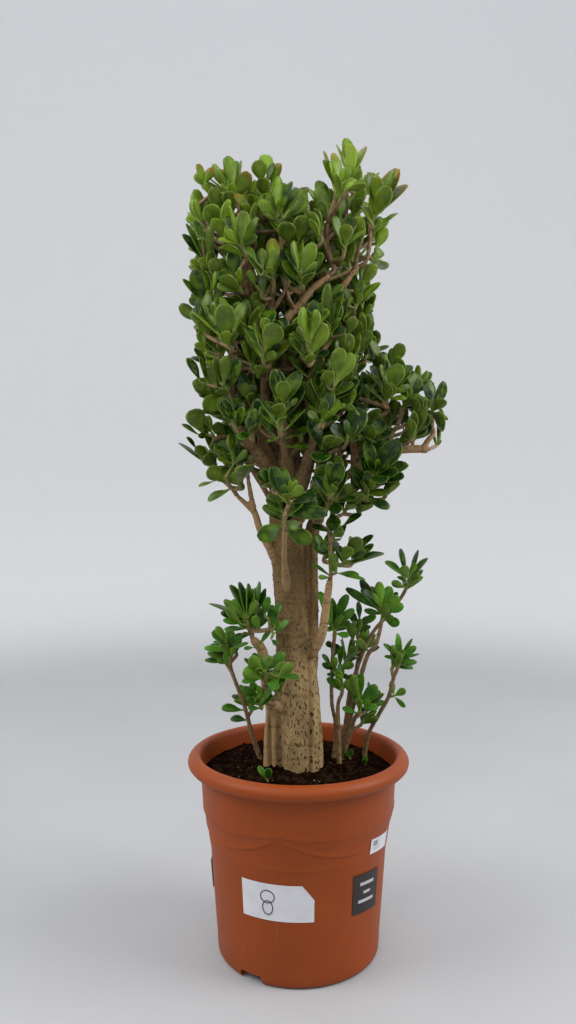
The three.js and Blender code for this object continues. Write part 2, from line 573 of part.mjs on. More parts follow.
for (const [name, stations] of Object.entries(WOOD)) {
  const sides = name === 'trunk' ? TRUNK_SIDES : LIMB_SIDES;
  addPath('trunk', stations.map(place), stations.map((s) => s[3]), sides, 'wood');
}

const woodParts = growth.trunk.paths.map(({ points, radii, sides }) => stem(points, radii, sides));
woodParts.push(footSolid(0, FOOT.bottom, FOOT.top));
const woodBody = fuse(woodParts);
const trunk = mesh('trunk', woodBody, LOOKS.wood);
const grownHeads = [];

// A shoot starts a hair off the bark: it steps out from inside the wood until it is clear.
function barkStart(wood, lead, way) {
  const [hit] = new THREE.Raycaster(lead, way.clone().negate()).intersectObject(trunk);
  const start = hit ? hit.point.clone() : wood.clone();
  const touches = () => {
    const end = start.clone().addScaledVector(way, 12);
    const room = TWIG.root + GAP;
    return stem([start, end], [room, room], TWIG.sides).intersect(woodBody).volume() > 1e-3;
  };
  start.addScaledVector(way, GAP / 2);
  while (touches()) start.addScaledVector(way, GAP);
  return start;
}

function growSpray(node, rootAt, heads, middle) {
  const wood = nearestWood(rootAt);
  const way = rootAt.clone().sub(wood).normalize();
  const lead = rootAt.clone().addScaledVector(way, 5);
  const start = barkStart(wood, lead, way);
  const first = growHead(node, [start, lead], heads[0], middle);
  grownHeads.push(first);
  const fork = lead.clone().lerp(first.points[2], 0.3);
  for (const head of heads.slice(1)) grownHeads.push(growHead(node, [fork], head, middle));
}

for (const [node, { root, heads }] of Object.entries(SPRAYS)) {
  growSpray(node, place(root), heads, place(root).x < -60 && root[1] < 560 ? -60 : 0);
}

for (const [node, { foot, heads }] of Object.entries(SUCKERS)) {
  const ground = place(foot);
  const below = ground.clone().setZ(STEM_FOOT.bottom);
  const lead = ground.clone().setZ(ground.z + 6);
  addPath(node, [below, ground], [STEM_FOOT.radius, STEM_FOOT.radius], STEM_FOOT.sides, node);
  heads.forEach((head) => grownHeads.push(growHead(node, [ground, lead], head, ground.x)));
}

// The board point that a real point lines up with.
function board(point) {
  const reach = -EYE.y / (point.y - EYE.y);
  return [mix(EYE.x, point.x, reach), mix(EYE.z, point.z, reach), point.y];
}

for (let ring = 0; ring < BACK.rings; ring++) {
  ['right', 'left'].forEach((half, side) => {
    const heads = [0, 1].map((k) => {
      const azimuth = BACK.azimuths[side * 2 + k] + (ring % 2 ? BACK.stagger : -BACK.stagger / 2);
      const turn = radians(azimuth + mix(-4, 4, random()));
      const radius = BACK.radius * mix(0.9, 1.08, random());
      const z = BACK.low + ring * BACK.rise + (k ? 16 : -8) + mix(-8, 8, random());
      return new THREE.Vector3(radius * Math.cos(turn), radius * Math.sin(turn), z);
    });
    const out = heads[0].clone().add(heads[1]).setZ(0).normalize();
    const rootAt = heads[0].clone().lerp(heads[1], 0.5).addScaledVector(out, -18);
    rootAt.z -= 26;
    growSpray(`spray_back_${half}_${ring + 1}`, rootAt, heads.map((h) => ({ at: board(h), tips: [] })), 0);
  });
}

const shown = grownHeads.map(growShownLeaves);
grownHeads.forEach((head, i) => {
  if (head.tips.length) growPartners(head, shown[i], head.tips.length > 4 ? 1 : 2);
});

for (const [node, { stemLeaves }] of Object.entries(SUCKERS)) {
  for (const [base, tip] of stemLeaves) {
    const root = place(base);
    const end = place(tip);
    tryLeaf(node, root, end, UP, root.distanceTo(end) * LEAF.wide * 1.1, node);
  }
}

// Far side heads: crossed pairs that open wide below and close up above.
for (const head of grownHeads.filter(({ tips }) => !tips.length)) {
  const turn = radians(mix(20, 70, random()));
  const first = head.axis.clone().cross(UP).normalize().applyAxisAngle(head.axis, turn);
  for (let pair = 0; pair < BACK.pairs; pair++) {
    for (const half of [0, 180]) {
      const out = first.clone().applyAxisAngle(head.axis, radians(half + pair * 90));
      const open = radians(SPREAD - pair * 8);
      const length = mix(44, 54, random()) - pair * 6;
      const way = head.axis.clone().multiplyScalar(Math.cos(open)).addScaledVector(out, Math.sin(open));
      const root = head.end.clone().lerp(head.neck, 0.75 - pair * 0.45);
      const tip = root.clone().addScaledVector(way, length);
      tryLeaf(head.node, root, tip, head.axis, length * LEAF.wide, head.head);
    }
  }
}

// ---------- the pot and what is stuck on it ----------

function wallRadius(z) {
  for (let i = 0; i + 1 < POT_WALL.length; i++) {
    const [[r0, z0], [r1, z1]] = [POT_WALL[i], POT_WALL[i + 1]];
    if (z <= z1) return mix(r0, r1, (z - z0) / (z1 - z0));
  }
  return POT_WALL[POT_WALL.length - 1][0];
}

function lathe(outline) {
  const geometry = new THREE.LatheGeometry(outline.map(([r, z]) => new THREE.Vector2(r, z)), POT_SIDES);
  geometry.rotateX(Math.PI / 2);
  return solid(geometry);
}

function cylinder(radius, height, sides, centre) {
  const geometry = new THREE.CylinderGeometry(radius, radius, height, sides);
  geometry.rotateX(Math.PI / 2).translate(centre.x, centre.y, centre.z);
  return solid(geometry);
}

function potSolid() {
  const { pad, height, inside, notch, notchHeight, azimuths } = FOOT_RING;
  let pot = lathe([[0, 0], [pad, 0], [pad + 2, height], [inside - 2, height], [inside, 0], [114, 0],
    ...POT_WALL, ...POT_RIM, ...POT_INSIDE, [0, 8]]);
  for (let i = 0; i < DRAIN.count; i++) {
    const spot = ringPoint(DRAIN.ring, i * 360 / DRAIN.count + 45, 6);
    pot = pot.subtract(cylinder(DRAIN.radius, 10, 8, spot));
  }
  for (const azimuth of azimuths) {
    const cut = new THREE.BoxGeometry(notch, 30, notchHeight * 2);
    cut.translate(0, -116, 0).rotateZ(radians(azimuth));
    pot = pot.subtract(solid(cut));
  }
  return pot;
}

// The wide foot of the wood in the soil, or with some gap the hole that it stands in.
function footSolid(gap, bottom, top) {
  const geometry = new THREE.CylinderGeometry(1, 1, top - bottom, FOOT.sides);
  geometry.rotateX(Math.PI / 2).scale(FOOT.halfLength + gap, FOOT.halfWidth + gap, 1);
  geometry.translate(FOOT.x, FOOT.y, (bottom + top) / 2);
  return solid(geometry);
}

function soilSolid() {
  const brim = POT_INSIDE[0];
  const floor = POT_INSIDE[POT_INSIDE.length - 1];
  const side = POT_INSIDE.slice(1, -1).reverse().map(([r, z]) => [r - GAP, z]);
  let soil = lathe([[0, floor[1] + GAP], [floor[0] - GAP, floor[1] + GAP], ...side,
    [brim[0] - 2 * GAP, brim[1] - 2], ...SOIL_TOP, [0, SOIL_MIDDLE]]);
  soil = soil.subtract(footSolid(GAP, FOOT.bottom - GAP, 300));
  for (const { foot } of Object.values(SUCKERS)) {
    const hole = place(foot).setZ(STEM_FOOT.bottom + 50 - GAP);
    soil = soil.subtract(cylinder(STEM_FOOT.radius + 0.5, 100, STEM_FOOT.sides, hole));
  }
  return soil;
}

// A thin sheet wrapped on the pot's wall, its lower and upper edges tilted by drop.
function wallSheet({ from, to, low, high, drop = 0, thick = 0.8, corner }) {
  const steps = Math.ceil((to - from) / 7);
  const geometry = new THREE.BoxGeometry(1, 1, 1, steps, 1, 1);
  const at = geometry.attributes.position;
  for (let i = 0; i < at.count; i++) {
    const share = at.getX(i) + 0.5;
    const azimuth = mix(from, to, share);
    let top = high;
    if (corner) top -= corner.down * Math.max(0, (share - corner.start) / (1 - corner.start));
    const z = mix(low, top, at.getZ(i) + 0.5) - drop * share;
    const spot = ringPoint(wallRadius(z) + GAP + (0.5 - at.getY(i)) * thick, azimuth, z);
    at.setXYZ(i, spot.x, spot.y, spot.z);
  }
  return solid(geometry);
}

const STICKERS = {
  paper_label: { look: 'paper', from: -37, to: 9, low: 95, high: 145, corner: { start: 0.84, down: 20 } },
  white_sticker: { look: 'paper', from: 47, to: 68, low: 170, high: 191, drop: 4 },
  dark_sticker: { look: 'dark', from: 35, to: 59, low: 92, high: 147, drop: 4 },
  side_sticker: { look: 'dark', from: -99, to: -87, low: 86, high: 126, thick: 2 },
};

// ---------- the assembly ----------

const plant = new THREE.Group();
plant.add(mesh('pot', potSolid(), LOOKS.pot));
plant.add(mesh('soil', soilSolid(), LOOKS.soil));
for (const [name, sheet] of Object.entries(STICKERS)) {
  plant.add(mesh(name, wallSheet(sheet), LOOKS[sheet.look]));
}
plant.add(trunk);
delete growth.trunk;
for (const [name, { paths, blades: leaves }] of Object.entries(growth)) {
  const stems = paths.map(({ points, radii, sides }) => stem(points, radii, sides));
  plant.add(mesh(name, fuse([...stems, ...leaves.map(leafSolid)]), LOOKS.leaves));
}

export default plant;
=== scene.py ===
"""A potted jade plant: bark trunk, leafy sprays, young suckers, soil and a moulded plastic pot.

Lengths in the tables are millimetres and are turned to metres where a mesh is made.
"""
import math

import bpy
import numpy as np
from bpy.props import FloatProperty, FloatVectorProperty, IntProperty, PointerProperty
from mathutils import Matrix, Vector, noise
from mathutils.kdtree import KDTree


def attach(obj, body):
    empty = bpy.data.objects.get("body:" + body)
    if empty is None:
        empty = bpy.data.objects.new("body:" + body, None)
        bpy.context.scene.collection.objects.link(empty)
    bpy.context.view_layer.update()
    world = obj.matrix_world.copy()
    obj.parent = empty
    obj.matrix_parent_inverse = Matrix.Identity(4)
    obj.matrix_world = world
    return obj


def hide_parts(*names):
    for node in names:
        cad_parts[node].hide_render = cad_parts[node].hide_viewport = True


bl_info = {
    "name": "Potted Jade Plant",
    "version": (1, 0, 0),
    "blender": (4, 5, 0),
    "location": "View3D > Sidebar > Jade",
    "description": "Builds a jade plant in its pot around the packed model",
    "category": "Add Mesh",
}

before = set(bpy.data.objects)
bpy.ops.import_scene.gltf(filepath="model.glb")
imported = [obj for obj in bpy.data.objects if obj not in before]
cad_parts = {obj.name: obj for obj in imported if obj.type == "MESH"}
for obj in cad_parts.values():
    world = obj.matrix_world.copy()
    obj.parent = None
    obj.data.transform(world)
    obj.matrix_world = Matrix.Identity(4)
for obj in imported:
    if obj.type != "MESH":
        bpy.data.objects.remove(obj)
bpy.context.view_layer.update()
MM = 0.001
UP = np.array((0.0, 0.0, 1.0))


# ---------- sizes and colours that a user may change ----------

def colour(name, description, default):
    """A colour setting."""
    return FloatVectorProperty(
        name=name, description=description, default=default, size=3, subtype="COLOR", min=0.0, max=1.0)


def length(name, description, default):
    """A length setting in metres."""
    return FloatProperty(
        name=name, description=description, default=default, unit="LENGTH", subtype="DISTANCE", precision=5)


class LeafSettings(bpy.types.PropertyGroup):
    """Leaves and green shoots."""

    # The tone between deep and fresh green also carries painted shade inside the crown and painted light on
    # its outer leaves.
    deep: colour("Deep green", "Shaded, older leaves", (0.0075, 0.031, 0.0016))
    fresh: colour("Fresh green", "Well lit, younger leaves", (0.190, 0.320, 0.0110))
    young: colour("Sucker green", "Bright leaves low on the plant", (0.066, 0.228, 0.0090))
    pale: colour("Pale margin", "Margins, leaf bases and pale streaks", (0.30, 0.42, 0.060))
    blush: colour("Blush", "Red flush of sunlit tips", (0.33, 0.055, 0.018))
    shoot: colour("Green shoot", "Soft end of a shoot", (0.13, 0.17, 0.026))
    thickness: FloatProperty(
        name="Thickness", description="Thickness of a leaf as a share of its length", default=0.078, min=0.03)
    breadth: FloatProperty(
        name="Breadth", description="Width against the width of the plain solids", default=0.94, min=0.5)


class BarkSettings(bpy.types.PropertyGroup):
    """Trunk, limbs and twigs."""

    pale: colour("Pale bark", "Smooth bark of the trunk", (0.400, 0.280, 0.126))
    # Dark bark also paints shade: in the bark's hollows, in the grooves and on the trunk under the crown.
    dark: colour("Dark bark", "Hollows and older patches", (0.152, 0.094, 0.037))
    twig: colour("Twig bark", "Thin limbs and shoots", (0.400, 0.255, 0.125))
    slit: colour("Slits", "Open slits and scars in the bark", (0.030, 0.013, 0.0075))
    relief: length("Relief", "Height of the broad lumps in the bark", 0.0011)
    grain: length("Grain", "Cell size that the joined wood is remeshed to", 0.0021)
    dots: IntProperty(name="Dots", description="Number of raised dots high on the trunk", default=1300, min=0)


class PotSettings(bpy.types.PropertyGroup):
    """Pot, soil and stickers."""

    plastic: colour("Plastic", "Moulded plastic of the pot", (0.252, 0.0465, 0.0046))
    scuff: colour("Scuff", "Rubbed, dusty plastic", (0.36, 0.110, 0.035))
    relief: length("Garland relief", "How far the garland stands out of the wall", 0.0013)
    soil: colour("Soil", "Damp potting soil", (0.0065, 0.0030, 0.0018))
    soil_dry: colour("Dry soil", "Dry crumbs on top", (0.024, 0.0115, 0.0065))
    paper: colour("Paper", "White stickers", (0.66, 0.66, 0.69))
    ink: colour("Ink", "Pen and print", (0.020, 0.022, 0.045))
    dark: colour("Dark sticker", "Near-black sticker", (0.012, 0.009, 0.008))


class StageSettings(bpy.types.PropertyGroup):
    """Floor, light and camera."""

    floor: colour("Floor", "Pale floor and sweep", (0.45, 0.45, 0.455))
    wall: colour("Wall", "Pale wall that the floor sweeps up into", (0.70, 0.70, 0.71))
    dim: colour("Dim wall", "Wall on the near side, which keeps reflections deep", (0.36, 0.36, 0.37))
    sky: FloatProperty(name="Sky", description="Strength of the even light", default=1.06, min=0.0)
    key: FloatProperty(
        name="Key light", description="Power of the left lamp, which the others follow", default=40.0,
        unit="POWER")
    lens: FloatProperty(name="Lens", description="Focal length", default=28.55, unit="CAMERA")
    pitch: FloatProperty(
        name="Pitch", description="How far the camera looks down", default=0.020, unit="ROTATION")


# ---------- mesh helpers ----------

def clear_selection():
    """Nothing stays selected or active."""
    if bpy.context.object and bpy.context.object.mode != "OBJECT":
        bpy.ops.object.mode_set(mode="OBJECT")
    bpy.ops.object.select_all(action="DESELECT")


def pick(obj):
    """Selects one object and makes it active."""
    clear_selection()
    obj.select_set(True)
    bpy.context.view_layer.objects.active = obj
    return obj


def edit(obj):
    """Opens an object in edit mode with its whole mesh selected."""
    pick(obj)
    bpy.ops.object.mode_set(mode="EDIT")
    bpy.ops.mesh.select_all(action="SELECT")


def close_edit():
    """Leaves edit mode."""
    bpy.ops.object.mode_set(mode="OBJECT")


def named(obj, name):
    """Gives an object and its mesh one name."""
    obj.name = name
    obj.data.name = name
    return obj


def settle(obj, name):
    """Puts the object's place into its mesh and names both."""
    pick(obj)
    bpy.ops.object.transform_apply(location=True, rotation=True, scale=True)
    return named(obj, name)


def select_faces(obj, test):
    """Opens an object in edit mode with the faces selected whose centre and normal pass the test."""
    edit(obj)
    bpy.ops.mesh.select_mode(type="FACE")
    bpy.ops.mesh.select_all(action="DESELECT")
    close_edit()
    for face in obj.data.polygons:
        face.select = bool(test(face.center, face.normal))
    bpy.ops.object.mode_set(mode="EDIT")


def outward(obj):
    """Turns all faces outwards and shades them smooth."""
    edit(obj)
    bpy.ops.mesh.normals_make_consistent(inside=False)
    close_edit()
    bpy.ops.object.shade_smooth()
    return obj


def loft(name, rings, sides, upright=True):
    """Extrudes and scales a ring through (centre, half sizes). Upright rings lie flat, others face -Y."""
    centre, half = rings[0]
    turn = (0, 0, 0) if upright else (math.pi / 2, 0, 0)
    clear_selection()
    bpy.ops.mesh.primitive_circle_add(
        vertices=sides, radius=1, fill_type="NGON", location=centre, rotation=turn)
    obj = bpy.context.object
    edit(obj)

    def scale_to(old, new, at):
        a, b = new[0] / old[0], new[1] / old[1]
        bpy.ops.transform.resize(value=(a, b, 1) if upright else (a, 1, b), center_override=at)

    scale_to((1, 1), half, centre)
    for at, size in rings[1:]:
        step = [b - a for a, b in zip(centre, at)]
        bpy.ops.mesh.extrude_region_move(TRANSFORM_OT_translate={"value": step})
        scale_to(half, size, at)
        centre, half = at, size
    close_edit()
    return outward(settle(obj, name))


def turned_form(name, profile, sides):
    """A round form about the upright axis, through (radius, height) in millimetres."""
    return loft(name, [((0, 0, z * MM), (r * MM, r * MM)) for r, z in profile], sides)


def tube(name, points, radii, sides):
    """A closed tube along dense points, both in millimetres."""
    clear_selection()
    bpy.ops.curve.primitive_nurbs_path_add(location=(0, 0, 0))
    obj = bpy.context.object
    line = obj.data
    line.splines.clear()
    spline = line.splines.new("POLY")
    spline.points.add(len(points) - 1)
    for knot, point, radius in zip(spline.points, points, radii):
        knot.co = (*(point * MM), 1)
        knot.radius = radius
    line.bevel_depth = MM
    line.bevel_resolution = sides // 2 - 2
    line.use_fill_caps = True
    line.twist_mode = "MINIMUM"
    pick(obj)
    bpy.ops.object.convert(target="MESH")
    obj = bpy.context.object
    bpy.ops.object.shade_smooth()
    return named(obj, name)


def join(objects, name):
    """Joins the objects into the first one."""
    clear_selection()
    for obj in objects:
        obj.select_set(True)
    bpy.context.view_layer.objects.active = objects[0]
    if len(objects) > 1:
        bpy.ops.object.join()
    return named(objects[0], name)


def modify(obj, kind, **values):
    """Adds a modifier and applies it."""
    pick(obj)
    step = obj.modifiers.new(kind, kind)
    for key, value in values.items():
        setattr(step, key, value)
    bpy.ops.object.modifier_apply(modifier=step.name)
    return obj


def vertex_rows(obj, what):
    """One vector of every vertex of a mesh."""
    flat = np.empty(len(obj.data.vertices) * 3)
    obj.data.vertices.foreach_get(what, flat)
    return flat.reshape(-1, 3)


def corners(obj):
    """All vertex places of a mesh, in millimetres."""
    return vertex_rows(obj, "co") / MM


def put_corners(obj, places):
    """Writes vertex places given in millimetres."""
    obj.data.vertices.foreach_set("co", (places * MM).ravel())
    obj.data.update()


def mark(obj, name, values):
    """Stores one vector for each vertex."""
    mesh = obj.data
    made = mesh.attributes.get(name) or mesh.attributes.new(name, "FLOAT_VECTOR", "POINT")
    made.data.foreach_set("vector", np.ascontiguousarray(values, dtype=np.float32).ravel())


def copy_of(master, matrix):
    """A copy of the master with its own mesh, put in place."""
    obj = master.copy()
    obj.data = master.data.copy()
    bpy.context.collection.objects.link(obj)
    obj.data.transform(matrix)
    return obj


def dress(obj, look=None):
    """Gives a piece its body, and one material unless its parts brought theirs."""
    if look:
        obj.data.materials.clear()
        obj.data.materials.append(look)
    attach(obj, "root")
    return obj


def ripple(places, size, stretch=(1, 1, 1), seed=0.0):
    """Smooth noise between about -1 and 1 at each place."""
    spots = places / (size * np.array(stretch)) + seed
    return np.array([noise.noise(Vector(spot)) for spot in spots])


def finder(places):
    """A search tree that finds the nearest of the places."""
    tree = KDTree(len(places))
    for i, spot in enumerate(places):
        tree.insert(Vector(spot), i)
    tree.balance()
    return tree


# ---------- shader helpers ----------

def add(tree, kind, settings=None, sockets=None):
    """Adds a node. Sockets are given by name or number and take a value or another socket."""
    node = tree.nodes.new(kind)
    for key, value in (settings or {}).items():
        setattr(node, key, value)
    for key, value in (sockets or {}).items():
        if isinstance(value, bpy.types.NodeSocket):
            tree.links.new(value, node.inputs[key])
        else:
            node.inputs[key].default_value = value
    return node


def maths(tree, operation, *values, clamp=False):
    """A math node's result."""
    sockets = dict(enumerate(values))
    return add(tree, "ShaderNodeMath", {"operation": operation, "use_clamp": clamp}, sockets).outputs[0]


def times(tree, first, second):
    """Two values multiplied."""
    return maths(tree, "MULTIPLY", first, second)


def blend(tree, factor, first, second):
    """Colours mixed by a factor."""
    sockets = {0: factor, 6: first, 7: second}
    return add(tree, "ShaderNodeMix", {"data_type": "RGBA", "clamp_factor": True}, sockets).outputs[2]


def rise(tree, value, low, high):
    """0 below low, 1 above high, smooth between. With low above high it falls instead."""
    node = add(tree, "ShaderNodeMapRange", {"interpolation_type": "SMOOTHSTEP"},
               {"Value": value, "From Min": low, "From Max": high})
    return node.outputs[0]


def rgb(values, share=1.0):
    """A colour with its alpha, made darker or lighter by a share."""
    return (*[value * share for value in values], 1.0)


def tint(tree, skin, mask, strength, colour):
    """Lays a colour over the skin where the mask is."""
    return blend(tree, times(tree, mask, strength), skin, colour)


def grainy(tree, spot, scale, detail):
    """A noise node."""
    return add(tree, "ShaderNodeTexNoise", None, {"Vector": spot, "Scale": scale, "Detail": detail})


def group(name, inputs, outputs):
    """An empty node group. Inputs and outputs are (name, socket kind, default)."""
    tree = bpy.data.node_groups.new(name, "ShaderNodeTree")
    for label, kind, default in inputs:
        socket = tree.interface.new_socket(label, in_out="INPUT", socket_type=kind)
        if default is not None:
            socket.default_value = default
    for label, kind in outputs:
        tree.interface.new_socket(label, in_out="OUTPUT", socket_type=kind)
    return tree, tree.nodes.new("NodeGroupInput"), tree.nodes.new("NodeGroupOutput")


def mottle_group():
    """Two colours in soft patches, stretched along the axes at will."""
    tree, given, out = group(
        "Mottle",
        [("Vector", "NodeSocketVector", None), ("Scale", "NodeSocketFloat", 100.0),
         ("Stretch", "NodeSocketVector", (1.0, 1.0, 1.0)), ("Detail", "NodeSocketFloat", 3.0),
         ("Low", "NodeSocketFloat", 0.35), ("High", "NodeSocketFloat", 0.65),
         ("Colour A", "NodeSocketColor", None), ("Colour B", "NodeSocketColor", None)],
        [("Colour", "NodeSocketColor"), ("Mask", "NodeSocketFloat")])
    inputs = given.outputs
    spread = add(tree, "ShaderNodeVectorMath", {"operation": "MULTIPLY"},
                 {0: inputs["Vector"], 1: inputs["Stretch"]})
    cloud = grainy(tree, spread.outputs[0], inputs["Scale"], inputs["Detail"])
    mask = rise(tree, cloud.outputs[0], inputs["Low"], inputs["High"])
    mixed = blend(tree, mask, inputs["Colour A"], inputs["Colour B"])
    tree.links.new(mixed, out.inputs["Colour"])
    tree.links.new(mask, out.inputs["Mask"])
    return tree


def speckle_group():
    """Small scattered dots."""
    tree, given, out = group(
        "Speckles",
        [("Vector", "NodeSocketVector", None), ("Scale", "NodeSocketFloat", 300.0),
         ("Size", "NodeSocketFloat", 0.2), ("Share", "NodeSocketFloat", 0.3)],
        [("Mask", "NodeSocketFloat")])
    cells = add(tree, "ShaderNodeTexVoronoi", None,
                {"Vector": given.outputs["Vector"], "Scale": given.outputs["Scale"]})
    near = rise(tree, cells.outputs["Distance"], given.outputs["Size"], 0.0)
    split = add(tree, "ShaderNodeSeparateColor", None, {0: cells.outputs["Color"]})
    kept = maths(tree, "LESS_THAN", split.outputs[0], given.outputs["Share"])
    tree.links.new(times(tree, near, kept), out.inputs["Mask"])
    return tree


GROUPS = {}


def shared(tree, name, sockets):
    """Places a shared node group in a material."""
    if name not in GROUPS:
        GROUPS[name] = {"Mottle": mottle_group, "Speckles": speckle_group}[name]()
    return add(tree, "ShaderNodeGroup", {"node_tree": GROUPS[name]}, sockets)


def mottled(tree, spot, scale, detail, low, high, first, second):
    """Two colours in soft patches."""
    return shared(tree, "Mottle", {
        "Vector": spot, "Scale": scale, "Detail": detail, "Low": low, "High": high,
        "Colour A": first, "Colour B": second})


def new_look(name, roughness, **sockets):
    """A material with its shader and object coordinates: (material, tree, shader, coordinates)."""
    look = bpy.data.materials.new(name)
    look.use_nodes = True
    tree = look.node_tree
    shader = tree.nodes["Principled BSDF"]
    shader.inputs["Roughness"].default_value = roughness
    for key, value in sockets.items():
        shader.inputs[key.replace("_", " ")].default_value = value
    place_node = add(tree, "ShaderNodeTexCoord")
    return look, tree, shader, place_node.outputs["Object"]


def finish_look(tree, shader, skin, height=None, strength=0.0, distance=0.0):
    """Feeds the colour and a height to the shader."""
    tree.links.new(skin, shader.inputs["Base Color"])
    if height is not None:
        node = add(tree, "ShaderNodeBump", None,
                   {"Strength": strength, "Distance": distance, "Height": height})
        tree.links.new(node.outputs[0], shader.inputs["Normal"])


def vector_attribute(tree, name):
    """The three numbers of a stored vector."""
    node = add(tree, "ShaderNodeAttribute", {"attribute_name": name})
    return add(tree, "ShaderNodeSeparateXYZ", None, {0: node.outputs["Vector"]}).outputs


# ---------- the plant's own places ----------

# The sight board is the upright plane through the pot's axis. A place is written as (across, up, depth):
# the point at that depth on the line of sight from EYE through that point of the board.
EYE = np.array((-15.0, -1180.0, 656.0))
CROWN_FOOT = 640            # height where the crown begins
CROWN_REACH = (130, 95)     # half width and half depth of the crown
GOLDEN_TURN = 137.5         # degrees from one leaf or twig to the next round a stem
SPREAD = 56                 # degrees between a shoot and its leaves
CROWD = 2.6                 # how near a rim may come to another blade's middle plane
LONGEST, SHORTEST = 56, 17  # lengths of a leaf
WIDE = 0.5                  # width of a leaf as a share of its length
TWIG_ROOT, TWIG_TIP = 3.2, 2.7
SOIL_MIDDLE = 262
POT_LIP, POT_BORE, POT_TOP = 172, 132, 292

# Wood: (across, up, depth, radius).
WOOD = {
    "trunk": [(3, 264, 0, 33), (3, 300, 0, 33), (1, 360, 0, 31), (-2, 400, 0, 29), (-8, 450, 0, 25),
              (-12, 500, 0, 22), (-15, 545, 0, 22.5), (-17, 590, 0, 24.5), (-18, 635, 0, 24),
              (-17, 672, 0, 19), (-16, 700, 0, 11)],
    "right_stem": [(12, 370, 4, 15), (17, 440, 6, 12.5), (18.5, 500, 8, 11), (18.5, 590, 6, 11),
                   (26, 622, 2, 11), (40, 650, -6, 10), (51, 692, -22, 7.5), (58, 712, -36, 5.5)],
    "left_stem": [(-45, 264, -2, 6.5), (-44, 305, -3, 6.5), (-41, 342, -6, 7), (-46, 370, -10, 7.5),
                  (-52, 427, -18, 8), (-62, 442, -22, 7), (-67, 448, -23, 5.5)],
    "left_rib": [(-34, 264, -4, 8), (-35, 300, -4, 8), (-32, 345, -4, 8), (-22, 385, -4, 7)],
    "cut_stub": [(-18, 343, -12, 8), (-35, 351, -26, 6.5)],
    "left_limb": [(-22, 650, -2, 16), (-40, 690, -8, 11), (-64, 724, -14, 9), (-80, 746, -18, 7.5),
                  (-92, 762, -22, 6.5), (-96, 800, -20, 5.5), (-95, 850, -24, 5), (-108, 888, -22, 4.2)],
    "second_limb": [(-26, 664, 4, 13), (-46, 722, 2, 10), (-52, 745, 0, 8), (-49, 805, -4, 6.5),
                    (-50, 840, -8, 6.5), (-58, 880, -14, 5.5), (-65, 930, -16, 5.2), (-84, 975, -20, 4.8),
                    (-108, 1004, -20, 4.2)],
    "second_limb_top": [(-65, 930, -16, 5), (-72, 985, -14, 4.4), (-70, 1022, -12, 3.8)],
    "second_limb_fork": [(-50, 840, -8, 6), (-41, 890, -20, 4.6), (-39, 920, -30, 4)],
    "middle_limb": [(-16, 672, -4, 15), (-16, 712, -6, 12), (-17, 780, -10, 9.5), (-18, 850, -14, 8),
                    (-19, 905, -16, 7), (0, 930, -14, 6), (20, 955, -10, 5.4), (36, 967, -7, 5),
                    (45, 974, -6, 4.4)],
    "top_right_limb": [(-18, 868, -12, 6), (18, 912, 2, 5.6), (50, 940, 6, 5.4), (68, 964, 6, 5.4),
                       (80, 981, 6, 4.6), (88, 987, 5, 4)],
    "front_limb": [(-16, 700, -10, 8), (-20, 722, -44, 5), (-23, 737, -66, 4)],
    "inner_limb": [(2, 664, -4, 12), (12, 704, -14, 8), (22, 738, -28, 6.5), (30, 755, -46, 5),
                   (38, 763, -59, 4.2)],
    "upright_limb": [(22, 738, -28, 6), (15, 772, -32, 5), (15, 815, -38, 4.6), (22, 842, -45, 4)],
    "right_limb": [(36, 642, -4, 9), (57, 674, -10, 7), (82, 692, -12, 6.5), (120, 708, -10, 6),
                   (149, 722, -6, 6), (178, 724, -2, 6.5), (188, 723, -1, 7)],
    "right_limb_up": [(82, 692, -12, 6.5), (81, 718, -13, 6), (80, 744, -13, 5.4), (95, 757, -12, 4.8),
                      (121, 772, -12, 4.2)],
    "right_shoot": [(124, 710, -9, 5), (133, 741, -9, 4.4), (144, 759, -9, 3.8)],
    "far_right_shoot": [(182, 724, -2, 5), (187, 735, -1, 4.5), (196, 746, 0, 4), (194, 757, 0, 3.6)],
    "left_twig": [(-30, 560, -10, 9), (-42, 580, -14, 6.5), (-56, 608, -18, 5.5), (-63, 630, -20, 5),
                  (-75, 643, -23, 4.2), (-89, 656, -25, 3.6)],
    "left_twig_fork": [(-63, 630, -20, 4.6), (-69, 657, -26, 4), (-73, 681, -34, 3.4)],
    "left_back_twig": [(-40, 650, 8, 5), (-67, 694, 6, 4.2), (-88, 720, -8, 3.8)],
    "front_twig": [(-14, 494, -10, 8.5), (-17, 530, -22, 7), (-20, 560, -46, 4.6), (-20, 592, -80, 4.2),
                   (-19, 609, -100, 3.8)],
    "low_branch": [(18, 425, -12, 9), (34, 453, -26, 7), (41, 501, -36, 6), (46, 533, -43, 5)],
    "back_limb_left": [(-14, 672, 8, 12), (-30, 735, 34, 8), (-46, 810, 48, 6.5), (-54, 890, 52, 5.5),
                       (-48, 962, 48, 4.5)],
    "back_limb_right": [(4, 672, 10, 12), (24, 738, 36, 8), (42, 830, 50, 6.5), (46, 920, 52, 5.5),
                        (34, 1002, 46, 4.5)],
    "back_limb_middle": [(-8, 682, 12, 10), (-2, 790, 30, 7), (-6, 880, 36, 5.5), (-12, 960, 38, 4.8),
                         (-18, 1024, 36, 4)],
}

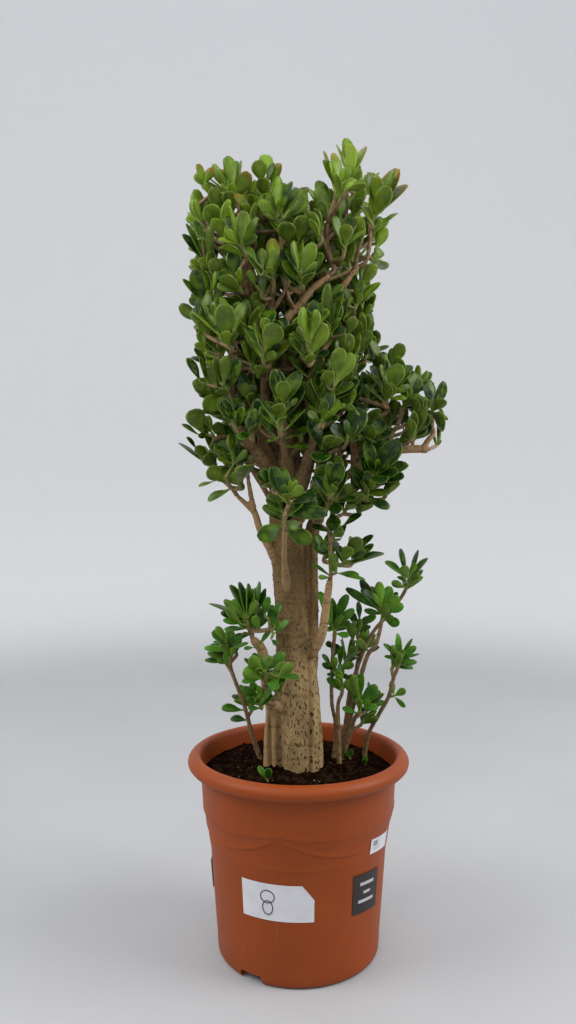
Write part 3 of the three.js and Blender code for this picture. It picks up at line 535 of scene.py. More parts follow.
# Sprays: where the shoot leaves the wood, then its heads as (growing tip, bends, ends of leaves), the
# last two only where there are any. Ends of leaves are (across, up).
SPRAYS = {
    "spray_top_left_tip": ((-118, 1016, -20), [((-136, 1104, -10), [(-126, 1040, -18), (-146, 1070, -12)]),
        ((-112, 1034, -50), [], [(-125, 1072), (-98, 1060)]),
        ((-105, 1050, 20), [], [(-122, 1099), (-98, 1093)])]),
    "spray_top_left": ((-70, 1030, -12), [((-93, 1086, -20),), ((-46, 1079, -10),)]),
    "spray_top_middle": ((-14, 942, -30), [((-27, 1048, -50), [(-24, 990, -38)]), ((-5, 1015, -40),),
        ((5, 968, -70),)]),
    "spray_upper_middle": ((-40, 930, -35), [((-38, 975, -70),), ((-54, 950, -60),)]),
    "spray_upper_left": ((-92, 958, -44), [((-82, 1014, -80),), ((-128, 988, -30),), ((-85, 958, -66),)]),
    "spray_top_right": ((49, 980, -5), [((56, 1097, -20), [(42, 1013, -8), (42, 1049, -14)]),
        ((38, 1064, 24),), ((68, 1016, -40),)]),
    "spray_top_right_far": ((76, 1000, 8), [((77, 1112, 20), [(69, 1056, 14)])]),
    "spray_right_top": ((94, 992, 4), [((113, 1062, -10), [(103, 1020, 0)]),
        ((114, 1002, 14), [], [(128, 1033), (122, 985)])]),
    "spray_right_hanging": ((74, 912, -4), [((84, 932, -20),), ((94, 910, 6),), ((97, 890, -16),)]),
    "spray_middle": ((25, 852, -48), [((17, 860, -100),), ((47, 893, -60),), ((72, 850, -50),)]),
    "spray_middle_left": ((-42, 838, -55), [((-52, 858, -100),), ((-68, 845, -66),)]),
    "spray_left_outer": ((-118, 905, -20), [((-132, 928, -46),), ((-143, 906, 6),)]),
    "spray_left_middle": ((-88, 862, -45), [((-103, 880, -90),), ((-112, 862, -58),)]),
    "spray_centre_right": ((40, 768, -66), [((50, 808, -100),),
        ((35, 768, -120), [], [(68, 789), (14, 786)])]),
    "spray_right_outer": ((127, 778, -12), [((133, 803, -50),),
        ((138, 830, -4), [], [(147, 876), (128, 868)])]),
    "spray_right_shoot": ((146, 764, -9), [((155, 789, -20), [], [(154, 812), (173, 833), (170, 795)])]),
    "spray_far_right": ((194, 763, 0), [
        ((196, 780, -6), [], [(183, 818), (200, 834), (213, 794), (204, 800), (161, 784), (180, 785),
         (217, 765), (164, 761)])]),
    "spray_left_low": ((-101, 776, -30), [((-108, 815, -70),), ((-117, 799, -40), [], [(-150, 823)]),
        ((-95, 764, -90),)]),
    "spray_left_outer_low": ((-104, 738, -20), [((-126, 748, -40),)]),
    "spray_left_twig_end": ((-93, 662, -26), [((-106, 682, -56),), ((-130, 704, 10),),
        ((-88, 676, -52), [], [(-80, 694)])]),
    "spray_left_twig": ((-74, 686, -36), [((-91, 709, -60), [], [(-126, 710), (-119, 708), (-108, 725)])]),
    "spray_centre_left": ((-58, 752, -62), [((-71, 750, -110), [], [(-51, 781), (-72, 772)]),
        ((-72, 796, -60), [], [(-78, 818), (-64, 818)])]),
    "spray_centre": ((-24, 742, -75), [((-28, 757, -130),),
        ((-25, 789, -100), [], [(-20, 824), (-12, 815)])]),
    "spray_right_inner": ((60, 722, -45), [
        ((72, 741, -90), [], [(89, 736), (83, 765), (44, 759), (94, 787), (80, 808)]),
        ((37, 726, -80), [], [(30, 708), (60, 716)])]),
    "spray_right_low": ((92, 712, -24), [
        ((104, 735, -56), [], [(122, 768), (135, 762), (134, 738), (85, 745)]),
        ((113, 688, -70), [], [(125, 734), (147, 733), (112, 715), (160, 702), (154, 691), (96, 715)])]),
    "spray_front_right": ((70, 664, -45), [((101, 661, -66), [], [(91, 680), (130, 664), (136, 653)]),
        ((51, 661, -100), [], [(44, 688), (17, 683), (75, 693), (49, 645)])]),
    "spray_front": ((-19, 608, -100), [((-15, 652, -132), [(-20, 622, -120)])]),
    "spray_low_right": ((47, 541, -46), [((54, 652, -86), [(46, 590, -66)]), ((66, 562, -50),),
        ((40, 573, -28), [], [(23, 580), (58, 590)])]),
    "left_shoot": ((-68, 452, -24), [((-74, 476, -44),), ((-42, 476, -56),)]),
    "left_low_rosettes": ((-50, 358, -32), [((-51, 402, -80),), ((-56, 352, -58), [], [(-82, 375)])]),
}

# Suckers: foot in the soil, heads, and leaves low on the stem as (base, end).
SUCKERS = {
    "sucker_left": ((-56, 267, 27), [
        ((-102, 430, 0), [(-67, 305, 22), (-77, 344, 16), (-88, 375, 10), (-98, 403, 5)])],
        [((-83, 356, 14), (-104, 367, 8)), ((-79, 343, 16), (-113, 345, 10)),
         ((-74, 328, 19), (-99, 330, 30)), ((-69, 310, 21), (-94, 312, 10))]),
    "sucker_right_first": ((52, 268, 34), [
        ((53, 467, 20), [(55, 300, 33), (54, 327, 30), (49, 354, 28), (49, 394, 26), (51, 435, 23)])], []),
    "sucker_right_front": ((60, 262, 12), [
        ((64, 385, 2), [(59, 305, 10), (58, 350, 8)])], []),
    "sucker_right_tall": ((63, 275, 54), [
        ((161, 530, 20), [(69, 322, 50), (75, 370, 46), (83, 397, 44), (106, 452, 40), (130, 482, 34),
                          (149, 507, 27)]),
        ((88, 467, 40), [(90, 430, 46)]),
        ((125, 486, -4), [(97, 412, 28), (112, 436, 10), (119, 460, 2)])],
        [((107, 430, 15), (85, 447, 2)), ((107, 428, 15), (124, 437, 0))]),
    "sucker_right_low": ((66, 272, 34), [
        ((90, 347, 0), [(78, 318, 22), (84, 335, 8)])], []),
    "sucker_right_outer": ((97, 274, 50), [
        ((148, 419, 0), [(100, 297, 45), (105, 314, 40), (119, 339, 30), (132, 363, 20), (139, 390, 10)])],
        [((130, 360, 21), (137, 386, 6)), ((129, 358, 22), (157, 370, 12)),
         ((128, 356, 22), (160, 348, 22)), ((104, 311, 41), (88, 335, 34)),
         ((104, 311, 41), (107, 334, 24))]),
}

# Small sheets on the sight board: across and up of the top left corner, and millimetres to a unit.
SHEETS = {
    "front": (-70.2, 715.3, 0.927), "low left": (-150.2, 548.2, 1.53), "low right": (2.4, 599, 1.853),
    "top right": (2.4, 1173.2, 1.205), "top left": (-179.2, 1165.9, 1.298),
    "left": (-179.2, 984.2, 1.298), "right": (-41.2, 969.7, 1.298), "under left": (-179.2, 831.6, 1.483),
}

# Clusters given leaf by leaf: piece, sheet, leaves. A leaf is (base across, base down, end across, end
# down, breadth as seen), then its tone from dark to light and its blush where they matter. A leaf with
# a minus before its breadth leans away.
PORTRAITS = (
    ("spray_front", "front", (
        (53, 72, 31, 18, 20, 0), (56, 70, 50, 18, 22, 0.35), (62, 62, 68, 34, -17, 0.2),
        (60, 58, 63, 39, 8, 1), (62, 58, 73, 40, 9, 0.8), (59, 69, 83, 50, 17, 0.6),
        (59, 76, 104, 60, 15, 0), (62, 82, 109, 74, 20, 0), (55, 98, 86, 80, 7, 0.5),
        (60, 94, 123, 92, 24, 0), (55, 75, 27, 65, 12, 0.4), (53, 92, 24, 68, 14, 0.45),
        (51, 98, 19, 79, 15, 0.15), (48, 105, 18, 86, 7, 0.6), (58, 103, 78, 115, 17, 0.5),
        (53, 110, 13, 131, 28, 0.4), (56, 118, 97, 134, 26, 0.45))),
    ("spray_low_right", "front", (
        (124, 66, 97, 33, 14, 0), (127, 62, 120, 30, 16, 0.4), (121, 78, 104, 50, 6, 0.5),
        (130, 73, 129, 56, 14, 0.6), (132, 70, 135, 95, 22, 0), (130, 88, 132, 118, 24, 0),
        (124, 122, 95, 112, 9, 0.1), (134, 62, 157, 26, 11, 0), (138, 68, 160, 46, 15, 0.2),
        (128, 128, 146, 118, 16, 0.2), (144, 112, 176, 92, 12, 0.1), (120, 140, 104, 146, 16, 0.2),
        (142, 132, 152, 108, 6, 0.5))),
    ("left_shoot", "low left", (
        (47, 48, 32, 14, 5), (48, 48, 40, 11, 6), (46, 48, 49, 12, 5), (52, 48, 60, 17, -5),
        (50, 50, 55, 19, 7), (48, 50, 34, 28, 13, 0.9), (46, 47, 13, 30, 5, 0.1), (48, 50, 24, 41, 8, 0.1),
        (44, 52, 26, 48, 6, 0.6), (42, 40, 26, 28, -8), (55, 58, 68, 41, 5), (58, 60, 73, 43, 6),
        (66, 44, 70, 25, -7, 0.6), (64, 46, 65, 31, -5), (76, 56, 72, 33, 10, 0), (68, 60, 82, 51, 9),
        (74, 62, 90, 48, 6), (60, 72, 73, 58, 5, 1), (50, 56, 27, 58, 5), (52, 62, 36, 64, 6),
        (72, 66, 79, 72, 5), (56, 74, 46, 75, 4, 0.7), (52, 46, 58, 30, 8), (60, 52, 64, 36, 7, 0.2),
        (46, 60, 38, 70, 6, 0.2), (40, 52, 30, 36, -9), (62, 60, 56, 44, 9, 0.7), (56, 56, 52, 38, 10))),
    ("sucker_left", "low left", (
        (30, 70, 16, 58, 9), (30, 70, 20, 54, 8, 0.6), (30, 76, 8, 74, 7, 0.8), (31, 78, 50, 68, 4, 0.8),
        (31, 74, 38, 62, 6), (30, 70, 31, 57, 5, 0.7), (29, 90, 21, 86, 5), (32, 92, 28, 79, 6, 0.9),
        (33, 86, 36, 74, 6, 0.6), (31, 72, 24, 60, -8, 0.3))),
    ("left_low_rosettes", "low left", (
        (64, 98, 51, 82, 11, 0.6), (66, 97, 85, 79, 11, 0.4), (72, 99, 86, 89, 9, 0),
        (78, 102, 92, 90, 10, 0.3), (80, 105, 100, 103, 6, 0.3), (66, 105, 78, 98, 7, 0.7),
        (66, 108, 81, 112, 11, 0.9), (63, 104, 46, 96, 13, 0.9), (62, 107, 44, 107, 6, 0.6),
        (60, 122, 44, 112, 8, 0.2), (63, 126, 60, 110, 6, 0.8), (60, 130, 49, 122, 6),
        (60, 134, 50, 132, 5, 0.5), (64, 100, 66, 86, 7), (62, 118, 52, 108, -7, 0.5),
        (66, 96, 72, 82, -9, 0.2))),
    ("sucker_right_tall", "low right", (
        (85, 34, 76, 11, 3), (85, 34, 66, 21, 4), (87, 34, 95, 12, 5), (88, 35, 101, 18, 5),
        (86, 34, 80, 23, 8), (88, 34, 91, 22, 5), (87, 36, 94, 31, 5), (85, 37, 76, 33, 3),
        (84, 41, 72, 37, 6), (64, 58, 62, 36, 8, 0.8), (65, 60, 71, 40, 9, 0.7), (66, 60, 77, 49, 10, 0.8),
        (67, 61, 82, 55, 8, 0.6), (64, 60, 47, 43, 5, 0), (63, 58, 57, 46, 5, 0.6), (63, 62, 50, 59, 5),
        (58, 54, 54, 39, -9, 0.1), (50, 52, 35, 41, 7, 0.1), (52, 50, 48, 36, -8, 0),
        (66, 66, 79, 70, 8, 0.9), (66, 64, 74, 65, 4, 0.2), (70, 52, 77, 45, -4, 0.1), (48, 70, 60, 63, 6),
        (47, 68, 46, 52, 5, 0.2), (46, 70, 38, 60, 6, 0.2), (46, 72, 54, 64, 5), (42, 84, 40, 70, 8, 0.1),
        (53, 92, 44, 82, 7, 0.1), (54, 93, 63, 88, 3), (66, 60, 68, 44, -9, 0.3), (45, 74, 36, 70, 5),
        (47, 74, 56, 72, 4, 0.5), (45, 80, 52, 78, 5, 0.5))),
    ("sucker_right_first", "low right", (
        (28, 70, 37, 46, 7, 0.6), (27, 70, 43, 58, 7, 0.7), (27, 70, 24, 49, 5, 0), (26, 69, 16, 52, -5, 0),
        (27, 73, 41, 71, 4, 0.6), (27, 77, 39, 79, 5, 1), (25, 73, 20, 75, 4, 0.5),
        (26, 72, 17, 62, 5, 0.1), (27, 72, 30, 54, -7, 0.3), (26, 66, 14, 44, -6, 0.6),
        (31, 106, 33, 87, 4), (33, 106, 45, 92, 4), (33, 107, 43, 101, 6, 0.6), (29, 106, 27, 96, 5, 1),
        (27, 104, 17, 94, 4), (28, 107, 17, 101, 5, 0.1), (30, 110, 21, 110, 3), (32, 112, 39, 112, 4),
        (27, 98, 29, 86, -8, 0.1), (27, 90, 21, 84, -5, 0.1))),
    ("sucker_right_low", "low right", (
        (47, 130, 49, 108, 7, 0.6), (49, 132, 61, 118, 9, 0.4), (50, 132, 62, 124, 6, 0.3),
        (46, 131, 36, 114, 8, 0), (46, 132, 39, 122, 4, 0.6), (48, 136, 62, 136, 6, 0.9),
        (44, 139, 33, 136, 5, 0.9), (47, 131, 42, 110, -7, 0.2), (48, 134, 56, 131, 5, 0.7))),
    ("sucker_right_outer", "low right", (
        (79, 94, 77, 77, 5, 0.7), (79, 95, 65, 86, 4), (79, 95, 71, 86, 4), (80, 95, 90, 82, 4),
        (81, 95, 91, 88, 6, 0.7), (80, 97, 95, 95, 3), (80, 99, 88, 99, 4, 0.7), (78, 99, 66, 96, 3),
        (74, 127, 72, 115, 5, 0.6), (75, 126, 83, 122, 6, 0.6), (74, 130, 83, 136, 4))),
    ("spray_low_right", "low right", (
        (35, 24, 67, 15, 6, 0), (36, 22, 39, 8, 10, 0.7), (38, 16, 48, 1, 11, 0.1),
        (42, 14, 58, 0, -6, 0.4), (33, 20, 22, -3, 5, 0), (40, 20, 52, 12, 6, 0.3),
        (29, 30, 47, 32, 6, 0.5), (42, 34, 52, 36, 3), (31, 30, 23, 23, 5, 0.5), (28, 28, 25, 14, 8, 0.3),
        (24, 38, 15, 33, 4), (22, 32, 10, 21, 3), (26, 16, 14, 9, 6, 0.1), (34, 24, 30, 8, 7, 0.3))),
    ("spray_top_right", "top right", (
        (42, 62, 28, 27, 10, 0.7), (44, 60, 34, 30, 6, 1), (46, 58, 43, 17, 13, 0.8, 0.5),
        (50, 62, 60, 38, 10, 0.7), (44, 57, 31, 16, -5, 0.6, 0.3), (53, 130, 56, 104, 17, 0.4, 0.15),
        (57, 128, 76, 108, 6, 0.6), (50, 128, 39, 95, 8, 0.5), (56, 124, 62, 91, -18, 0.2),
        (33, 92, 20, 58, 18, 0.4), (33, 100, 20, 78, 17, 0.1), (32, 84, 20, 49, -15, 0.2),
        (26, 90, 8, 62, 6, 0.9), (48, 62, 54, 36, -9, 0.9))),
    ("spray_top_right_far", "top right", (
        (60, 48, 57, 7, 21, 1, 0.25), (62, 54, 74, 8, 12, 0.85, 0.5), (60, 45, 54, 2, -15, 0.7),
        (62, 58, 62, 32, 8, 0.9, 0.2), (63, 60, 72, 38, 10, 0.4), (60, 50, 46, 8, -8, 0.7))),
    ("spray_right_top", "top right", (
        (89, 92, 81, 42, 14, 0.45, 0.1), (90, 92, 92, 44, 14, 0.6, 0.1), (92, 95, 105, 60, 20, 0.3),
        (95, 92, 118, 38, 19, 1, 0.7), (95, 96, 127, 54, 9, 0.4, 0.5), (95, 106, 118, 91, 5, 0.6),
        (88, 107, 72, 82, 6, 0.9, 0.5), (90, 136, 103, 106, 15, 0.8), (84, 152, 93, 136, 9, 0.5),
        (92, 92, 108, 36, -10, 0.5))),
    ("spray_top_left_tip", "top left", (
        (31, 44, 26, 24, 8, 0.8, 0.6), (33, 45, 43, 28, 10, 0.7, 1), (37, 58, 35, 45, 8, 0.9))),
    ("spray_top_left", "top left", (
        (66, 52, 61, 14, 15, 0.6), (66, 56, 68, 21, 14, 0.4), (64, 52, 52, 18, 6, 0.5),
        (68, 62, 84, 33, 17, 0.5, 0.5), (60, 54, 48, 27, 10, 0.85), (50, 76, 42, 50, 15, 0.2),
        (60, 80, 60, 53, 16, 0.15), (52, 98, 37, 70, 21, 0.45), (68, 72, 65, 57, 5, 0.5),
        (57, 56, 52, 47, 4, 1, 0.4), (98, 46, 93, 20, 18, 0.6), (104, 38, 101, 12, -16, 0.9),
        (103, 62, 96, 38, 16, 0.25), (108, 54, 116, 22, 11, 0.7, 0.5), (104, 48, 109, 22, 6, 0.2),
        (84, 72, 86, 58, 10, 0.4), (72, 56, 76, 22, -6, 0.4))),
    ("spray_upper_left", "top left", (
        (74, 117, 78, 76, 19, 0.3), (70, 112, 63, 68, 6, 0.9), (71, 118, 49, 104, 6, 0.95),
        (69, 112, 57, 98, 12, 0.9), (68, 106, 58, 82, -9, 0.1), (78, 114, 92, 103, 9, 0.15),
        (37, 137, 26, 108, 16, 0.3), (34, 133, 10, 100, 11, 0.1), (25, 108, 11, 90, 5, 0.3),
        (31, 108, 22, 87, 8, 0.35), (31, 114, 26, 100, -13, 0.2), (40, 132, 37, 92, -9, 0),
        (47, 132, 44, 95, -12, 0), (60, 150, 40, 131, 17, 0.15), (68, 152, 65, 119, 17, 0.15),
        (76, 116, 90, 82, -8, 0.4))),
    ("spray_top_middle", "top left", (
        (115, 84, 118, 39, 15, 0.75), (118, 80, 128, 42, 8, 0.15), (119, 84, 137, 50, 10, 0.25),
        (121, 85, 141, 60, 12, 0.4), (124, 86, 148, 68, 12, 0.4), (112, 84, 107, 58, 7, 0.1),
        (113, 90, 102, 80, 8, 0.2), (138, 110, 144, 80, 19, 0.2), (128, 114, 124, 91, 21, 0.2),
        (140, 148, 155, 112, 17, 0.4), (136, 146, 125, 119, 8, 0.15), (138, 142, 134, 108, 7, 0.45),
        (142, 142, 144, 108, 8, 0.5), (134, 130, 128, 109, -8, 0.1), (142, 146, 158, 132, 8, 0.3))),
    ("spray_upper_middle", "top left", (
        (102, 148, 113, 118, 15, 0.5), (108, 132, 110, 105, 16, 0.9, 0.4), (98, 140, 97, 117, 12, 0),
        (96, 148, 82, 125, 6, 0.3), (92, 134, 80, 116, 8, 0.3), (90, 158, 83, 142, 11, 0.4),
        (100, 146, 90, 124, -7, 0.1))),
    ("spray_left_outer", "left", (
        (34, 40, 22, 2, 20, 0.15), (40, 32, 32, 8, 5, 0.9), (40, 40, 38, 24, 7, 0.9),
        (30, 36, 8, 12, 6, 0.2), (47, 30, 45, 2, 6, 0.5), (30, 44, 17, 32, 10, 0.05),
        (27, 62, 6, 40, 14, 0.2), (36, 38, 28, 4, -10, 0.3))),
    ("spray_left_middle", "left", (
        (58, 80, 55, 37, 24, 0.3), (49, 62, 43, 37, 12, 0.35), (50, 74, 20, 45, 6, 0.95),
        (45, 60, 34, 40, 9, 0.2), (66, 70, 78, 38, 12, 0.4), (56, 42, 50, 27, -11, 0.35),
        (36, 92, 27, 70, 8, 1), (55, 97, 29, 74, 4, 0.2), (48, 100, 34, 92, 8, 0.7),
        (50, 106, 34, 104, 5, 0.8), (60, 84, 70, 70, 7, 0.5))),
    ("spray_middle_left", "left", (
        (100, 92, 116, 59, 24, 0.25), (99, 74, 102, 54, 12, 0.5), (106, 66, 103, 47, -20, 0.2),
        (97, 92, 80, 61, 8, 0), (97, 104, 113, 93, 11, 0.3), (103, 108, 126, 79, 9, 0.35, 0.3),
        (93, 122, 97, 105, 15, 0.3), (89, 107, 72, 79, 5, 0.4), (94, 84, 88, 60, 4, 0.5),
        (62, 96, 74, 80, 6, 0.5), (60, 92, 52, 82, 5, 0.6))),
    ("spray_left_low", "left", (
        (54, 132, 58, 96, 15, 0.45), (47, 132, 36, 108, 14, 0), (29, 126, 16, 97, 10, 0.1),
        (49, 141, 21, 124, 18, 0.35), (51, 142, 71, 117, 6, 0.25), (58, 157, 29, 146, 20, 1),
        (60, 164, 28, 157, 9, 0.15), (68, 158, 70, 144, 12, 0.6), (72, 166, 54, 164, 8, 0.85),
        (50, 126, 46, 98, -8, 0.2), (38, 128, 26, 98, -6, 0.2), (76, 168, 90, 150, 4, 0.6))),
    ("spray_centre_left", "left", (
        (80, 150, 76, 127, 13, 0), (84, 148, 89, 127, 9, 0.2), (84, 150, 98, 140, 5, 0.2))),
    ("spray_middle", "right", (
        (45, 87, 61, 48, 22, 0.5), (42, 76, 35, 30, 14, 0.75), (46, 68, 51, 33, 13, 0.6),
        (39, 93, 21, 65, 7, 0.5), (42, 82, 27, 61, 6, 0.1), (40, 68, 31, 53, 7, 0),
        (46, 106, 60, 90, 13, 0.25), (68, 59, 76, 27, 17, 0.4), (74, 32, 86, 13, 7, 0.3),
        (60, 38, 66, 4, -9, 0), (88, 88, 85, 59, 18, 0), (95, 88, 98, 60, 8, 0.7),
        (87, 62, 94, 43, 13, 0.2), (42, 110, 18, 85, 5, 0.4), (48, 92, 66, 80, 8, 0.2))),
    ("spray_centre_right", "right", (
        (72, 119, 93, 81, 19, 0.55), (70, 108, 80, 76, 18, 0.15), (66, 122, 65, 100, 15, 0.35),
        (68, 132, 93, 114, 9, 0.4), (70, 136, 94, 122, 5, 0.1), (60, 141, 46, 109, 8, 0.3),
        (64, 131, 56, 108, 6, 0.2), (60, 154, 85, 139, 8, 0.4), (90, 142, 95, 123, 7, 0.9),
        (58, 150, 42, 142, 4, 0.6), (100, 152, 84, 140, 8, 0.3), (62, 146, 50, 124, -6, 0.1))),
    ("spray_right_outer", "right", (
        (136, 125, 145, 93, 19, 0.6), (138, 96, 147, 72, 15, 0.5), (134, 102, 136, 76, -11, 0.05),
        (128, 112, 129, 90, 9, 0), (133, 134, 153, 134, 6, 0.75), (134, 126, 120, 96, 4, 0.4),
        (131, 134, 113, 106, 4, 0.5), (136, 125, 158, 103, 8, 0.1), (146, 130, 158, 118, 9, 0.5),
        (128, 130, 108, 100, 4, 0.2), (126, 134, 104, 118, 4, 0.3), (124, 122, 112, 96, -8, 0.1))),
    ("spray_right_hanging", "right", (
        (96, 29, 121, 1, 9, 0.75), (93, 28, 101, 0, 10, 0.3), (81, 46, 94, 32, 9, 0.75),
        (104, 46, 119, 18, 6, 0.85), (106, 47, 116, 35, 3, 0.6), (103, 42, 112, 28, 7, 0.85),
        (107, 62, 123, 86, 8, 0.5), (108, 64, 118, 90, 6, 0.05), (86, 30, 92, 20, 6, 0.4),
        (90, 30, 84, 8, -8, 0.2))),
    ("spray_left_outer_low", "under left", (
        (28, 58, 17, 34, 19, 0.2), (24, 59, 6, 49, 4, 0.2), (34, 72, 28, 53, 5, 0.6),
        (50, 63, 38, 47, 12, 0), (30, 62, 22, 60, 6, 0.2), (54, 71, 40, 60, 7, 0.25))),
    ("spray_left_twig_end", "under left", (
        (28, 85, 4, 65, 5, 0.1), (22, 73, 11, 61, 4, 0.1), (34, 80, 20, 71, 10, 0.15),
        (42, 91, 28, 77, 15, 0.25), (58, 87, 41, 82, 6, 0.6), (50, 103, 32, 93, 15, 0.6),
        (38, 104, 23, 110, 3.5, 0.5), (54, 113, 32, 124, 6.5, 0.6), (60, 108, 57, 95, 8, 0.6),
        (68, 96, 70, 74, 8, 0), (56, 78, 54, 57, 7, 0.2), (57, 76, 38, 71, 5, 0.2))),
    ("spray_centre", "under left", (
        (104, 49, 99, 27, 17, 0.45), (108, 30, 107, 5, 15, 0.5), (108, 46, 127, 12, 13, 0.05),
        (110, 34, 120, 23, 6, 0.7), (102, 49, 84, 26, 6, 0.1), (109, 53, 129, 33, 5, 0.4),
        (100, 63, 82, 42, 6, 0.2), (110, 62, 132, 50, 8, 0.35), (101, 66, 90, 65, 4, 1),
        (108, 70, 132, 70, 6, 0.35), (106, 52, 94, 38, 6, 0.2))),
)

# The far side: rings of heads round the crown, two to a spray.
BACK_RINGS, BACK_LOW, BACK_RISE, BACK_RADIUS = 5, 728, 78, 104
BACK_TURNS, BACK_STAGGER, BACK_PAIRS = (25, 66, 112, 155), 10, 2


def draws(seed):
    """A repeatable stream of numbers between 0 and 1."""
    word = 0xFFFFFFFF
    state = seed

    def draw():
        nonlocal state
        state = (state + 0x6D2B79F5) & word
        t = ((state ^ (state >> 15)) * (1 | state)) & word
        t = ((t + (((t ^ (t >> 7)) * (61 | t)) & word)) & word) ^ t
        return ((t ^ (t >> 14)) & word) / 4294967296

    return draw


def mix(a, b, t):
    """Straight mix of two values."""
    return a + (b - a) * t


def place(spot):
    """The point at its depth on the sight line through the board."""
    x, z, depth = spot if len(spot) == 3 else (*spot, 0.0)
    reach = (depth - EYE[1]) / -EYE[1]
    return np.array((mix(EYE[0], x, reach), depth, mix(EYE[2], z, reach)))


def board(point):
    """The board point that a real point lines up with."""
    reach = -EYE[1] / (point[1] - EYE[1])
    return (mix(EYE[0], point[0], reach), mix(EYE[2], point[2], reach), point[1])


def size_of(vector):
    """Length of a vector."""
    return math.sqrt(float(vector @ vector))


def unit(vector):
    """The vector at length 1."""
    return vector / size_of(vector)


def turned(vector, axis, degrees):
    """The vector turned about a unit axis."""
    c, s = math.cos(math.radians(degrees)), math.sin(math.radians(degrees))
    return vector * c + np.cross(axis, vector) * s + axis * (axis @ vector) * (1 - c)


def angle_of(a, b):
    """Degrees between two vectors."""
    return math.degrees(math.acos(max(-1.0, min(1.0, (a @ b) / math.sqrt((a @ a) * (b @ b))))))


def dots(a, b):
    """Row by row products."""
    return (a * b).sum(-1)


def cuts_blade(p, q, centre, face, along, side, half_length, half_width, reach, grow):
    """True where the stretch p-q comes within reach of a blade's middle plane, inside its rim."""
    a, step = p - centre, q - p
    height, climb = dots(a, face), dots(step, face)
    level = np.abs(climb) < 1e-9
    safe = np.where(level, 1.0, climb)
    one, two = (-reach - height) / safe, (reach - height) / safe
    start = np.where(level, 0.0, np.maximum(0.0, np.minimum(one, two)))
    stop = np.where(level, 1.0, np.minimum(1.0, np.maximum(one, two)))
    missed = np.where(level, np.abs(height) > reach, start >= stop)
    long, wide = half_length + grow, half_width + grow
    u, v = dots(a, along) / long, dots(a, side) / wide
    du, dv = dots(step, along) / long, dots(step, side) / wide
    near = np.minimum(np.maximum(-(u * du + v * dv) / (du * du + dv * dv + 1e-12), start), stop)
    return ((u + near * du) ** 2 + (v + near * dv) ** 2 < 1) & ~missed


def gaps_between(p, q, r, s):
    """The nearest that the stretches p-q and r-s come to each other."""
    u, v, w = q - p, s - r, p - r
    a, b, c, d, e = dots(u, u), dots(u, v), dots(v, v), dots(u, w), dots(v, w)
    spread = a * c - b * b
    t = np.where(spread < 1e-9, 0.0, (b * e - c * d) / np.where(spread < 1e-9, 1.0, spread)).clip(0, 1)
    k = ((b * t + e) / c).clip(0, 1)
    t = ((b * k - d) / a).clip(0, 1)
    gap = w + u * t[..., None] - v * k[..., None]
    return np.sqrt(dots(gap, gap))


